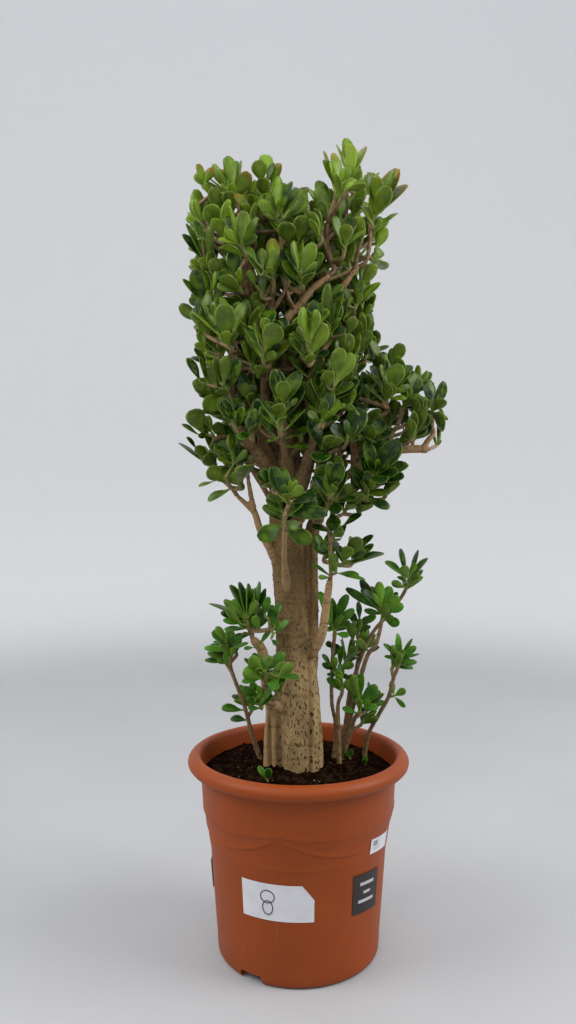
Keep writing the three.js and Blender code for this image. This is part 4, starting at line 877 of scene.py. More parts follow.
class Room:
    """Keeps every stretch of stem and every blade, so that leaves don't cut each other."""

    NAMES = ("centre", "face", "along", "side", "half_length", "half_width", "rim")
    MOST = 4096         # blades that the arrays hold

    def __init__(self):
        self.rods = []
        self.table = None
        self.blades = None
        self.count = 0      # blades so far

    def add_rods(self, points, radii, head):
        """Takes the stretches of a stem."""
        for i in range(len(points) - 1):
            self.rods.append((points[i], points[i + 1], max(radii[i], radii[i + 1]), head))
        self.table = None

    def add_blade(self, leaf):
        """Takes a blade."""
        if self.blades is None:
            self.blades = {n: np.zeros((self.MOST, *np.shape(leaf[n]))) for n in self.NAMES}
        for name in self.NAMES:
            self.blades[name][self.count] = leaf[name]
        self.count += 1

    def rod_table(self):
        """The stems as arrays."""
        if self.table is None:
            start, stop, radius, heads = zip(*self.rods)
            start, stop, radius = np.array(start), np.array(stop), np.array(radius)
            middle = (start + stop) / 2
            half = np.sqrt(dots(middle - stop, middle - stop))
            self.table = start, stop, radius, np.array(heads), middle, half
        return self.table

    def near_blades(self, centre, reach):
        """The blades whose middles lie within their own half length and the reach, as arrays."""
        if not self.count:
            return None
        off = self.blades["centre"][:self.count] - centre
        near = np.flatnonzero(np.sqrt(dots(off, off)) <= self.blades["half_length"][:self.count] + reach)
        return [self.blades[n][near] for n in self.NAMES] if len(near) else None

    def crowded(self, leaf, crowd=CROWD, slack=0.0, kin=None):
        """True if the blade touches a stem that isn't of its kin, another blade, the soil or the pot."""
        rim = leaf["rim"]
        if self.too_low(rim) or self.meets_blades(leaf, crowd):
            return True
        start, stop, radius, heads, middle, half = self.rod_table()
        off = middle - leaf["centre"]
        near = np.flatnonzero(np.sqrt(dots(off, off)) <= half + leaf["half_length"] + radius + 4)
        if kin:
            near = near[~np.char.startswith(heads[near].astype(str), kin + "/")]
        if not len(near):
            return False
        own = heads[near] == leaf["head"]
        p, q = rim[:-1, None], rim[1:, None]
        gap = gaps_between(p, q, start[near][None], stop[near][None])
        gap[0, own] = gap[-1, own] = 1e9
        if (gap < radius[near] + 1 - slack).any():
            return True
        far = near[~own]
        return bool(len(far)) and bool(cuts_blade(
            start[far], stop[far], leaf["centre"], leaf["face"], leaf["along"], leaf["side"],
            leaf["half_length"], leaf["half_width"], radius[far] + 2 - slack, radius[far]).any())

    def meets_blades(self, leaf, crowd):
        """True if the blade and another one cut or nearly touch."""
        near = self.near_blades(leaf["centre"], leaf["half_length"] + 5)
        if near is None:
            return False
        *others, rims = near
        rim = leaf["rim"]
        if cuts_blade(rim[None, :-1], rim[None, 1:], *[o[:, None] for o in others], crowd, 0.6).any():
            return True
        own = [leaf[n] for n in self.NAMES[:-1]]
        return bool(cuts_blade(rims[:, :-1], rims[:, 1:], *own, crowd, 0.6).any())

    def stem_is_blocked(self, points, radius):
        """True if a new stem would run through a blade."""
        near = self.near_blades((points[0] + points[-1]) / 2, size_of(points[0] - points[-1]) / 2 + 6)
        if near is None:
            return False
        p, q = np.array(points[:-1])[None], np.array(points[1:])[None]
        return bool(cuts_blade(p, q, *[o[:, None] for o in near[:-1]], radius + 1, radius).any())

    @staticmethod
    def too_low(rim):
        """True if the rim of a blade reaches the soil or the lip of the pot."""
        radius = np.hypot(rim[:, 0], rim[:, 1])
        lowest = np.where(radius > POT_LIP, 0, np.where(radius > POT_BORE, POT_TOP, SOIL_MIDDLE + 4))
        return bool((rim[:, 2] < lowest).any())


# Half a blade's rim: shares of its length and of its width.
RIM = ((0.1, 0.06), (0.42, 0.42), (0.78, 0.49), (1, 0.15))


def make_blade(root, tip, facing, width, head):
    """Works out a blade from its root, its tip and the way that its upper side looks."""
    along = tip - root
    long = size_of(along)
    along = along / long
    face = facing - along * (facing @ along)
    if size_of(face) < 0.05:
        face = UP - along * (UP @ along)
    face = unit(face)
    side = np.cross(face, along)
    left = [root + along * u * long + side * v * width for u, v in RIM]
    right = [root + along * u * long - side * v * width for u, v in reversed(RIM)]
    return {"root": root, "along": along, "side": side, "face": face, "length": long, "width": width,
            "head": head, "rim": np.array(left + right), "centre": root + along * 0.62 * long,
            "half_length": long * 0.39, "half_width": width * 0.5}


def opened(facing, along, root):
    """Twists a blade that would be seen from its edge so that it shows some of its face."""
    middle = np.array((0.0, 0.0, root[2])) if root[1] > 30 else EYE
    view = unit(middle - root)
    flat = view - along * (view @ along)
    face = facing - along * (facing @ along)
    if size_of(flat) < 0.25 or size_of(face) < 0.1:
        return facing
    flat, face = unit(flat), unit(face)
    shown = face @ flat
    if abs(shown) > 0.62:
        return facing
    return unit(face + flat * (0.75 if shown >= 0 else -0.75))


# Tries for a leaf: degrees that it opens, degrees that it swings round the shoot, and its share of size.
TURNS = ((0, 0, 1), (10, 0, 1), (-10, 0, 1), (0, 14, 1), (0, -14, 1), (-22, 0, 1), (20, 0, 0.95),
         (0, 30, 0.95), (0, -30, 0.95), (0, 0, 0.8), (-14, 14, 0.85), (-14, -14, 0.85), (14, 20, 0.8),
         (14, -20, 0.8), (-28, 0, 0.75), (0, 0, 0.62))
# Tries for a drawn leaf: which point of the shoot it starts from, and how far its end moves in depth.
PORTRAIT_TRIES = [(slot, shift, crowd) for crowd in (1.2, 0.5) for slot in (0, 2, 4, 6)
                  for shift in (0, -6, 6, -12, 12, -18, 18, -26, 26)]


class Growth:
    """Grows the heads and leaves of the whole plant in a fixed order."""

    def __init__(self):
        self.draw = draws(23)
        self.room = Room()
        self.leaves = {}
        self.shoots = {}
        self.heads = []
        self.drawn = []
        for name, stations in WOOD.items():
            self.room.add_rods([place(s[:3]) for s in stations], [s[3] for s in stations], "wood")
        for name, (root, heads) in SPRAYS.items():
            far_left = place(root)[0] < -60 and root[1] < 560
            self.grow_spray(name, place(root), heads, -60 if far_left else 0)
        for name, (foot, heads, _) in SUCKERS.items():
            self.grow_sucker(name, place(foot), heads)
        self.grow_far_side()
        for node, sheet, leaves in PORTRAITS:
            self.portrait(node, sheet, leaves)
        shown = [self.shown_leaves(head) for head in self.heads]
        for head, ways in zip(self.heads, shown):
            if head["tips"]:
                self.partners(head, ways, 1 if len(head["tips"]) > 4 else 2)
        for name, (_, _, stem_leaves) in SUCKERS.items():
            for base, tip in stem_leaves:
                root, end = place(base), place(tip)
                self.try_leaf(name, root, end, UP, size_of(end - root) * WIDE * 1.1, name)
        for head in self.heads:
            if head["tips"] == []:
                self.far_leaves(head)

    def add_path(self, node, points, radii, head):
        """Takes a shoot of a node."""
        self.shoots.setdefault(node, []).append((points, radii))
        self.leaves.setdefault(node, [])
        self.room.add_rods(points, radii, head)

    @staticmethod
    def nearest_wood(root):
        """The point of the wood that a new shoot starts from: near, and lower than the shoot."""
        best = None
        for stations in WOOD.values():
            for a, b in zip(stations, stations[1:]):
                for t in (0, 0.25, 0.5, 0.75, 1):
                    point = mix(place(a[:3]), place(b[:3]), t)
                    run = math.hypot(point[0] - root[0], point[1] - root[1])
                    cost = size_of(point - root) + max(0, point[2] - root[2] + run / 2)
                    if best is None or cost < best[0]:
                        best = cost, point
        return best[1]

    def grow_head(self, node, start, head, middle):
        """One head on its own stem, which goes on from the start points."""
        at, via, tips = *head, *((), None)[len(head) - 1:]
        end = place(at)
        axis = unit(np.array(((end[0] - middle) / 200, end[1] / 95, 1.0)))
        span = size_of(end - (place(via[-1]) if via else start[-1]))
        neck = end - axis * min(18, span * 0.45)
        points = [*start, *[place(bend) for bend in via], neck, end]
        radii = [mix(TWIG_ROOT, TWIG_TIP, i / (len(points) - 1)) for i in range(len(points))]
        name = f"{node}/{len(self.heads)}"
        self.add_path(node, points, radii, name)
        self.heads.append({"node": node, "name": name, "end": end, "axis": axis, "neck": neck,
                           "tips": tips, "points": points})
        return points

    def grow_spray(self, node, root_at, heads, middle):
        """A shoot off the wood with its heads."""
        wood = self.nearest_wood(root_at)
        way = unit(root_at - wood)
        lead = root_at + way * 5
        first = self.grow_head(node, [wood, lead], heads[0], middle)
        fork = mix(lead, first[2], 0.3)
        for head in heads[1:]:
            self.grow_head(node, [fork], head, middle)

    def grow_sucker(self, node, ground, heads):
        """A stem out of the soil with its heads."""
        below = np.array((ground[0], ground[1], 226.0))
        self.add_path(node, [below, ground], [4, 4], node)
        for head in heads:
            self.grow_head(node, [ground, ground + UP * 6], head, ground[0])

    def grow_far_side(self):
        """Rings of heads on the side away from the eye."""
        for ring in range(BACK_RINGS):
            for half, name in enumerate(("right", "left")):
                spots = []
                for k in (0, 1):
                    azimuth = BACK_TURNS[half * 2 + k] + (BACK_STAGGER if ring % 2 else -BACK_STAGGER / 2)
                    turn = math.radians(azimuth + mix(-4, 4, self.draw()))
                    radius = BACK_RADIUS * mix(0.9, 1.08, self.draw())
                    z = BACK_LOW + ring * BACK_RISE + (16 if k else -8) + mix(-8, 8, self.draw())
                    spots.append(np.array((radius * math.cos(turn), radius * math.sin(turn), z)))
                out = spots[0] + spots[1]
                out[2] = 0
                root_at = mix(spots[0], spots[1], 0.5) - unit(out) * 18
                root_at[2] -= 26
                heads = [(board(spot), [], []) for spot in spots]
                self.grow_spray(f"spray_back_{name}_{ring + 1}", root_at, heads, 0)

    def try_leaf(self, node, root, tip, axis, width, head, turns=TURNS, **room):
        """Adds a leaf if it finds room, turned a little or smaller where it has to be."""
        way = tip - root
        hinge = unit(np.cross(axis, way))
        roll = mix(-12, 12, self.draw())
        for open_by, swing, size in turns:
            bent = turned(turned(way, hinge, open_by), axis, swing) * size
            if size_of(bent) < SHORTEST * room.get("least", 1):
                continue
            facing = turned(axis, unit(bent), roll)
            facing = opened(facing, unit(bent), root)
            leaf = make_blade(root, root + bent, facing, width * size, head)
            if self.room.crowded(leaf, room.get("crowd", CROWD), room.get("slack", 0.0)):
                continue
            if stands_bare(leaf) or turns is SMALL_TURNS and (hides_limb(leaf) or leaves_crown(leaf)):
                continue
            if head != node and self.hides_drawn(leaf["centre"], 0.35 * leaf["half_length"]):
                continue
            self.room.add_blade(leaf)
            self.leaves[node].append(leaf)
            return leaf
        return None

    @staticmethod
    def leaf_tip(root, axis, tip, forward):
        """Finds the depth at which a leaf stands off its shoot at the usual angle."""
        best = None
        for step in range(-28, 29):
            goal = place((*tip, root[1] + step * 2))
            way = goal - root
            cost = abs(angle_of(way, axis) - SPREAD) + (0 if (step < 0) == forward else 9)
            cost += 3 * max(0, size_of(way) - LONGEST)
            if best is None or cost < best[0] - 1e-6:
                best = cost, goal
        return best[1]

    def portrait(self, node, sheet, leaves):
        """Adds a cluster leaf by leaf, each from the nearest point of the node's shoots."""
        left, top, unit_size = SHEETS[sheet]
        low = top < CROWN_FOOT
        narrow, stout = (0.34, 0.50) if low else (0.42, 0.52)
        dense = np.vstack([smooth_path(points, radii, 3)[0] for points, radii in self.shoots[node]])
        for u, v, end_u, end_v, breadth, *more in leaves:
            base = np.array((left + u * unit_size, top - v * unit_size))
            end = (left + end_u * unit_size, top - end_v * unit_size)
            off = np.array([board(point)[:2] for point in dense]) - base
            order = np.argsort(dots(off, off))
            near = dense[order[0]]
            if size_of(off[order[0]]) > 6:
                stop = place((*base, near[1] - (5 if breadth > 0 else -5)))
                above = dense[:, 2] > stop[2] - 2
                start = dense[int(np.argmin(dots(dense - stop, dense - stop) + 400 * above))]
                if not self.room.stem_is_blocked([start, stop], 2.0):
                    self.add_path(node, [start, stop], [2.2, 1.8], f"{node}/twig")
                    dense = np.vstack((dense, mix(start, stop, 0.5), stop))
                    order = [len(dense) - 1, len(dense) - 2, *order]
            for slot, shift, crowd in PORTRAIT_TRIES:
                root = dense[order[min(slot, len(order) - 1)]]
                scale = (root[1] - EYE[1]) / -EYE[1]
                long_seen = math.hypot(end[0] - base[0], end[1] - base[1]) * scale
                wide_seen = abs(breadth) * unit_size * scale
                long = max(long_seen, wide_seen / stout)
                toward = math.sqrt(long ** 2 - long_seen ** 2) * (1 if breadth > 0 else -1)
                tip = place((*end, root[1] - toward + shift))
                width = max(wide_seen, narrow * long) * 1.08
                shown = min(1, wide_seen * 1.08 / width)
                along = unit(tip - root)
                view = unit(EYE - root)
                flat = unit(view - along * (view @ along))
                across = np.cross(along, flat)
                across = across if across[2] > 0 else -across
                facing = flat * shown + across * math.sqrt(max(0, 1 - shown ** 2))
                if (facing - along * (facing @ along))[2] < 0:
                    facing = -facing
                leaf = make_blade(root, tip, facing, width, f"{node}/drawn")
                if not self.room.crowded(leaf, crowd, 2.2, node):
                    self.room.add_blade(leaf)
                    leaf["more"] = more
                    self.leaves[node].append(leaf)
                    self.drawn.append((*board(leaf["centre"]), leaf["half_length"]))
                    break

    def hides_drawn(self, point, reach):
        """True if a point stands close before a leaf of a portrait."""
        x, z, depth = board(point)
        drawn = np.array(self.drawn)
        near = np.hypot(drawn[:, 0] - x, drawn[:, 1] - z) < 0.6 * drawn[:, 3] + reach
        return bool((near & (depth < drawn[:, 2] + 2)).any())

    def shown_leaves(self, head):
        """The leaves whose ends are known."""
        made = []
        for i, tip in enumerate(head["tips"] or ()):
            root = mix(head["end"], head["neck"], min(1, (i + 0.5) / max(len(head["tips"]), 4)))
            goal = self.leaf_tip(root, head["axis"], tip, i % 2 == 0)
            width = size_of(goal - root) * WIDE * mix(0.94, 1.12, self.draw())
            leaf = self.try_leaf(head["node"], root, goal, head["axis"], width, head["name"])
            if leaf:
                made.append(leaf)
        return made

    def partners(self, head, ways, most):
        """Leaves grow in opposite pairs: the partners of the leaves that stand clear."""
        added = 0
        axis = head["axis"]
        for leaf in list(ways):
            if added >= most:
                break
            way = -leaf["along"] + axis * 2 * (leaf["along"] @ axis)
            if any(angle_of(other["along"], way) < 38 for other in ways):
                continue
            tip = leaf["root"] + way * leaf["length"] * 0.92
            if leaf["root"][2] > CROWN_FOOT and not inside_crown(tip, 8):
                continue
            partner = self.try_leaf(head["node"], leaf["root"], tip, axis, leaf["width"] * 0.95, head["name"])
            if partner:
                ways.append(partner)
                added += 1

    def far_leaves(self, head):
        """Crossed pairs that open wide below and close up above."""
        axis = head["axis"]
        first = turned(unit(np.cross(axis, UP)), axis, mix(20, 70, self.draw()))
        for pair in range(BACK_PAIRS):
            for half in (0, 180):
                out = turned(first, axis, half + pair * 90)
                opening = math.radians(SPREAD - pair * 8)
                long = mix(44, 54, self.draw()) - pair * 6
                way = axis * math.cos(opening) + out * math.sin(opening)
                root = mix(head["end"], head["neck"], 0.75 - pair * 0.45)
                self.try_leaf(head["node"], root, root + way * long, axis, long * WIDE, head["name"])


# The same for the small leaves that fill the crown.
SMALL_TURNS = ((0, 0, 1), (0, 24, 1), (0, -24, 1), (12, 0, 0.9), (0, 48, 0.9), (0, -48, 0.9),
               (0, 72, 0.85), (0, 0, 0.8), (16, 36, 0.8), (16, -36, 0.8), (-14, 0, 0.8))
# Left and right edge of the crown on the sight board, by height, and its top edge, by place across.
CROWN_EDGE = ((640, -131, 136), (671, -143, 152), (700, -136, 162), (728, -170, 162), (741, -172, 201),
              (757, -171, 216), (794, -159, 215), (835, -156, 200), (851, -159, 170), (880, -151, 150),
              (892, -149, 118), (916, -162, 111), (941, -170, 115), (982, -162, 119), (1027, -168, 130),
              (1055, -165, 141), (1080, -159, 151), (1120, -150, 156), (1161, -90, 95))
CROWN_TOP = ((-150, 1128), (-110, 1146), (-90, 1147), (-70, 1141), (-50, 1150), (-28, 1144), (-20, 1110),
             (8, 1100), (18, 1116), (42, 1119), (54, 1158), (92, 1163), (104, 1126), (132, 1131), (156, 1110))


def inside_crown(point, beyond=0):
    """True where a point lies within the crown's edge, or not far beyond it."""
    x, z, _ = board(point)
    heights, left, right = zip(*CROWN_EDGE)
    if not heights[0] - beyond < z < heights[-1] or z > np.interp(x, *zip(*CROWN_TOP)) + beyond:
        return False
    return np.interp(z, heights, left) - beyond < x < np.interp(z, heights, right) + beyond


# Limbs that show between the leaves: stretches on the sight board with half widths.
SEEN_LIMBS = (
    (48, 1088, 44, 1035, 8), (44, 1035, 47, 985, 8), (62, 1080, 68, 1050, 6), (75, 989, 20, 950, 10),
    (20, 950, -8, 922, 10), (75, 958, 112, 1040, 9), (-52, 1040, -72, 955, 7), (-24, 955, -24, 918, 9),
    (-64, 845, -48, 802, 10), (-92, 757, -44, 702, 10), (30, 760, 6, 678, 12), (60, 722, 70, 770, 8),
    (-28, 745, -22, 690, 12), (84, 755, 79, 700, 8), (132, 741, 152, 790, 9), (176, 724, 215, 735, 14),
    (-104, 690, -66, 645, 9), (-66, 700, -60, 640, 6), (-20, 700, -14, 720, 10), (95, 850, 100, 800, 6))


def hides_limb(leaf):
    """True if the blade stands in front of a limb that shows."""
    x, z, depth = board(leaf["centre"])
    if depth > 2:
        return False
    for x1, z1, x2, z2, half in SEEN_LIMBS:
        dx, dz = x2 - x1, z2 - z1
        t = min(1, max(0, ((x - x1) * dx + (z - z1) * dz) / (dx * dx + dz * dz)))
        if math.hypot(x - x1 - t * dx, z - z1 - t * dz) < half + 0.55 * leaf["half_length"]:
            return True
    return False


def stands_bare(leaf):
    """True if a blade would grow beside the bare stretch of the left twig."""
    x, z, depth = board(leaf["centre"])
    return -82 < x < -44 and 575 < z < 642 and depth < 40


def leaves_crown(leaf):
    """True if a blade of the crown reaches over the crown's edge."""
    return leaf["root"][2] > CROWN_FOOT and not all(inside_crown(spot) for spot in leaf["rim"][1:7])


def add_side_head(growth, node, spot, end, name, lean):
    """Adds a short twig with a bare head if no leaf is in its way."""
    axis = unit(np.array((end[0] / lean[0], end[1] / lean[1], 1.0)))
    neck = end - axis * min(13, size_of(end - spot) * 0.4)
    points = [spot, neck, end]
    if growth.room.stem_is_blocked(points, 2.6) or growth.hides_drawn(end, 9):
        return False
    growth.add_path(node, points, [2.9, 2.6, 2.4], name)
    growth.heads.append({"node": node, "name": name, "end": end, "axis": axis, "neck": neck, "tips": [],
                         "points": points})
    return True


# More heads low on the plant: piece, then places.
LOW_HEADS = (
    ("left_shoot", ((-62, 497, 14), (-84, 448, -50), (-110, 466, 0), (-72, 470, 16), (-98, 446, 10))),
    ("left_low_rosettes", ((-74, 382, -30), (-58, 344, -66), (-34, 372, -50), (-52, 392, -50))),
    ("sucker_right_outer", ((142, 410, 20),)),
    ("sucker_right_tall", ((104, 470, 30), (96, 440, 60), (118, 486, 46), (96, 486, 60), (150, 520, 44))),
    ("sucker_right_first", ((62, 440, 44), (56, 466, 44), (38, 456, 50), (72, 420, 40))),
    ("sucker_right_low", ((106, 352, 30), (96, 330, 24))),
    ("sucker_left", ((-94, 432, 16), (-70, 352, 24), (-108, 416, 14))),
    ("spray_low_right", ((82, 566, -20), (58, 590, -20), (38, 600, -20), (70, 640, -60))),
    ("spray_front", ((-36, 672, -98), (6, 664, -100))),
)
# Seedlings in the soil: place and length of their leaves.
SEEDLINGS = ((-45, 271, -60, 19), (76, 300, 34, 15), (98, 290, 6, 14), (60, 300, 60, 12))


def seedlings(growth):
    """Adds a few leaves that stand straight in the soil."""
    for k, (x, z, depth, long) in enumerate(SEEDLINGS):
        foot = place((x, z, depth))
        foot[2] = SOIL_MIDDLE - 3
        end = foot + UP * 4
        name = f"seedling_{k}"
        growth.add_path("sucker_right_low", [foot, end], [1.4, 1.1], name)
        for turn in range(2):
            out = turned(np.array((1.0, 0.0, 0.0)), UP, turn * 150 + k * 50)
            way = (UP + out * (0.1 + 0.7 * turn)) * long
            leaf = make_blade(foot + UP, foot + UP + way, unit(EYE - foot), long * (0.6 - 0.1 * turn), name)
            growth.leaves["sucker_right_low"].append(leaf)


def low_shoots(growth):
    """Adds the small heads that make the low clusters dense."""
    for node, spots in LOW_HEADS:
        dense = np.vstack([smooth_path(points, radii, 6)[0] for points, radii in growth.shoots[node]])
        for k, spot in enumerate(spots):
            end = place(spot)
            off = end - dense
            cost = np.sqrt(dots(off, off)) + np.maximum(0, 14 - off[:, 2]) * 2
            add_side_head(growth, node, dense[int(cost.argmin())], end, f"{node}/low_{k}", (160, 120))


def side_shoots(growth):
    """Adds short twigs with their own heads where the crown has room."""
    starts = []
    for stations in WOOD.values():
        dense, thick, _ = smooth_path([place(s[:3]) for s in stations], [s[3] for s in stations], 13)
        for spot, radius in zip(dense, thick):
            if spot[2] > 690 and radius < 11:
                starts.append(("inner_shoots", spot))
    for head in growth.heads:
        if head["end"][2] > CROWN_FOOT:
            dense = smooth_path(head["points"], [3] * len(head["points"]), 12)[0]
            starts += [(head["node"], spot) for spot in dense[1:-1]]
    ends = [head["end"] for head in growth.heads]
    for step, (node, spot) in enumerate(starts):
        best = None
        for k in range(14):
            turn = math.radians(step * 47 + k * GOLDEN_TURN)
            climb = math.radians(mix(15, 65, growth.draw()))
            flat = math.cos(climb)
            way = np.array((math.cos(turn) * flat, math.sin(turn) * flat, math.sin(climb)))
            end = spot + way * mix(24, 62, growth.draw())
            if end[1] < -84 or end[1] > 118 or not inside_crown(end + UP * 22):
                continue
            off = np.array(ends) - end
            clear = math.sqrt(dots(off, off).min())
            if clear > 23 and (best is None or clear > best[0]):
                best = clear, end
        if best is not None and add_side_head(growth, node, spot, best[1], f"side_{step}", (220, 170)):
            ends.append(best[1])


def fill_head(growth, head, count, longest, opening, crowd):
    """Tries leaves all round a head, low ones wide open and long, high ones steeper."""
    axis = head["axis"]
    turn = mix(0, 90, growth.draw())
    low = head["end"][2] < CROWN_FOOT
    side = unit(np.cross(axis, UP))
    count += 5 * low
    for step in range(count):
        out = turned(side, axis, turn + step * GOLDEN_TURN)
        long = mix(0.70, 1.0, growth.draw()) * longest * (0.76 if low else 0.96)
        bend = math.radians(mix(*opening, growth.draw()) * (1 - 0.5 * max(0, -out[1])))
        stand = axis if low else unit(axis + UP * 0.7)
        way = stand * math.cos(bend) + out * math.sin(bend)
        root = mix(head["end"], head["neck"], mix(0.2, 1.0, step / (count - 1)))
        tip = root + way * long
        if low or inside_crown(tip):
            growth.try_leaf(head["node"], root, tip, axis, long * (0.40 if low else 0.46), head["name"],
                            turns=SMALL_TURNS, crowd=crowd, slack=0.8)


def fill_crown(growth):
    """Adds the small inner pairs, the side shoots and the leaves between that plain solids leave out."""
    growth.draw = draws(71)
    for head in growth.heads:
        axis = head["axis"]
        first = turned(unit(np.cross(axis, UP)), axis, mix(0, 180, growth.draw()))
        for half in (0, 180):
            out = turned(first, axis, half)
            long = mix(18, 30, growth.draw())
            way = axis * math.cos(math.radians(24)) + out * math.sin(math.radians(24))
            root = head["end"] - axis * 1.0
            growth.try_leaf(head["node"], root, root + way * long, axis, long * 0.5, head["name"],
                            turns=SMALL_TURNS, crowd=1.5, slack=0.7, least=0.7)
    for head in list(growth.heads):
        fill_head(growth, head, 16 if head["tips"] is not None else 9, 54, (8, 46), 1.0)
    before = len(growth.heads)
    low_shoots(growth)
    seedlings(growth)
    side_shoots(growth)
    for head in growth.heads[before:]:
        fill_head(growth, head, 18, 52, (6, 50), 0.9)
        drop_bare(growth, head)


def drop_bare(growth, head):
    """Takes a small head away again if hardly any leaf found room on it."""
    node = head["node"]
    kept = [leaf for leaf in growth.leaves[node] if leaf["head"] != head["name"]]
    if len(growth.leaves[node]) - len(kept) < 3:
        growth.leaves[node] = kept
        growth.shoots[node] = [path for path in growth.shoots[node] if path[0] is not head["points"]]


def smooth_path(points, radii, step):
    """Dense points on a smooth curve through the given ones, with their radii and shares of the way."""
    points = np.array(points, dtype=float)
    radii = np.array(radii, dtype=float)
    ends = np.vstack((2 * points[0] - points[1], points, 2 * points[-1] - points[-2]))
    made, thick = [], []
    for i in range(len(points) - 1):
        a, b, c, d = ends[i:i + 4]
        count = max(1, int(round(size_of(c - b) / step)))
        for k in range(count):
            t = k / count
            spot = 0.5 * (2 * b + (c - a) * t + (2 * a - 5 * b + 4 * c - d) * t * t
                          + (3 * b - a - 3 * c + d) * t ** 3)
            made.append(spot)
            thick.append(mix(radii[i], radii[i + 1], t))
    made.append(points[-1])
    thick.append(radii[-1])
    made = np.array(made)
    run = np.concatenate(((0,), np.cumsum(np.sqrt(dots(np.diff(made, axis=0), np.diff(made, axis=0))))))
    return made, np.array(thick), run


# ---------- looks ----------

def leaf_look(colours):
    """Waxy green skin: tone, pale margin, streaks and blush follow the blade."""
    look, tree, shader, spot = new_look("jade_leaf", 0.30, IOR=1.45, Specular_IOR_Level=0.22)
    deep, pale = rgb(colours.deep), rgb(colours.pale)
    across, along, face = vector_attribute(tree, "leaf_at")[:3]
    # The first value, tone, holds each leaf's own tone and painted shade deep inside the crown.
    tone, flush, streak = vector_attribute(tree, "leaf_look")[:3]
    age = vector_attribute(tree, "leaf_kind")[0]
    fresh = blend(tree, age, rgb(colours.fresh), rgb(colours.young))
    cloud = shared(tree, "Mottle", {"Vector": spot, "Scale": 70.0, "Low": 0.3, "High": 0.7})
    drift = maths(tree, "MULTIPLY_ADD", cloud.outputs["Mask"], 0.42, -0.21)
    shade = maths(tree, "ADD", tone, drift, clamp=True)
    skin = blend(tree, shade, deep, fresh)
    edge = maths(tree, "ABSOLUTE", across)
    band = times(tree, rise(tree, edge, 0.30, 0.75), times(tree, streak, 0.55))
    skin = blend(tree, band, skin, deep)
    margin = maths(tree, "MAXIMUM", rise(tree, edge, 0.80, 1.0), rise(tree, along, 0.95, 1.0))
    base = rise(tree, along, 0.26, 0.02)
    skin = tint(tree, skin, margin, 0.42, pale)
    skin = tint(tree, skin, base, 0.6, pale)
    lines = add(tree, "ShaderNodeCombineXYZ", None, {
        0: times(tree, across, 2.6), 1: times(tree, along, 1.5), 2: times(tree, streak, 9.0)})
    brush = grainy(tree, lines.outputs[0], 2.4, 3.0)
    stroke = times(tree, rise(tree, brush.outputs[0], 0.50, 0.62), rise(tree, edge, 0.75, 0.2))
    stroke = times(tree, stroke, rise(tree, streak, 0.70, 0.84))
    skin = tint(tree, skin, stroke, 0.62, pale)
    below = rise(tree, face, 0.2, -0.4)
    skin = tint(tree, skin, below, 0.22, pale)
    tip = times(tree, rise(tree, along, 0.62, 1.0), 0.80)
    rim = times(tree, rise(tree, edge, 0.6, 1.0), rise(tree, along, 0.35, 0.8))
    redness = times(tree, flush, maths(tree, "MAXIMUM", tip, rim))
    skin = blend(tree, redness, skin, rgb(colours.blush))
    rough = maths(tree, "MULTIPLY_ADD", cloud.outputs["Mask"], 0.10, 0.22)
    tree.links.new(rough, shader.inputs["Roughness"])
    grain = grainy(tree, spot, 900.0, 2.0)
    vein = rise(tree, edge, 0.16, 0.0)
    height = maths(tree, "MULTIPLY_ADD", vein, -1.4, grain.outputs[0])
    finish_look(tree, shader, skin, height, 0.22, 0.0006)
    return look


def shoot_look(leaf, bark):
    """Soft shoots: brown skin with ring scars that turns green towards the tip, greyer on woody stems and, as
    painted shade, deep inside the crown.
    """
    look, tree, shader, spot = new_look("jade_shoot", 0.6, IOR=1.45)
    run, ring, age = vector_attribute(tree, "shoot_at")[:3]
    cloud = mottled(tree, spot, 160.0, 4.0, 0.35, 0.7, rgb(bark.twig), rgb(bark.dark))
    # The third value greys the skin towards dark bark: woody stems low down, and painted shade deep inside
    # the crown.
    grey = blend(tree, times(tree, age, 0.5), cloud.outputs["Colour"], rgb(bark.dark))
    skin = blend(tree, rise(tree, run, 0.70, 0.97), grey, rgb(leaf.shoot))
    skin = tint(tree, skin, ring, 0.55, rgb(bark.slit))
    grain = grainy(tree, spot, 600.0, 4.0)
    finish_look(tree, shader, skin, grain.outputs[0], 0.35, 0.0008)
    return look


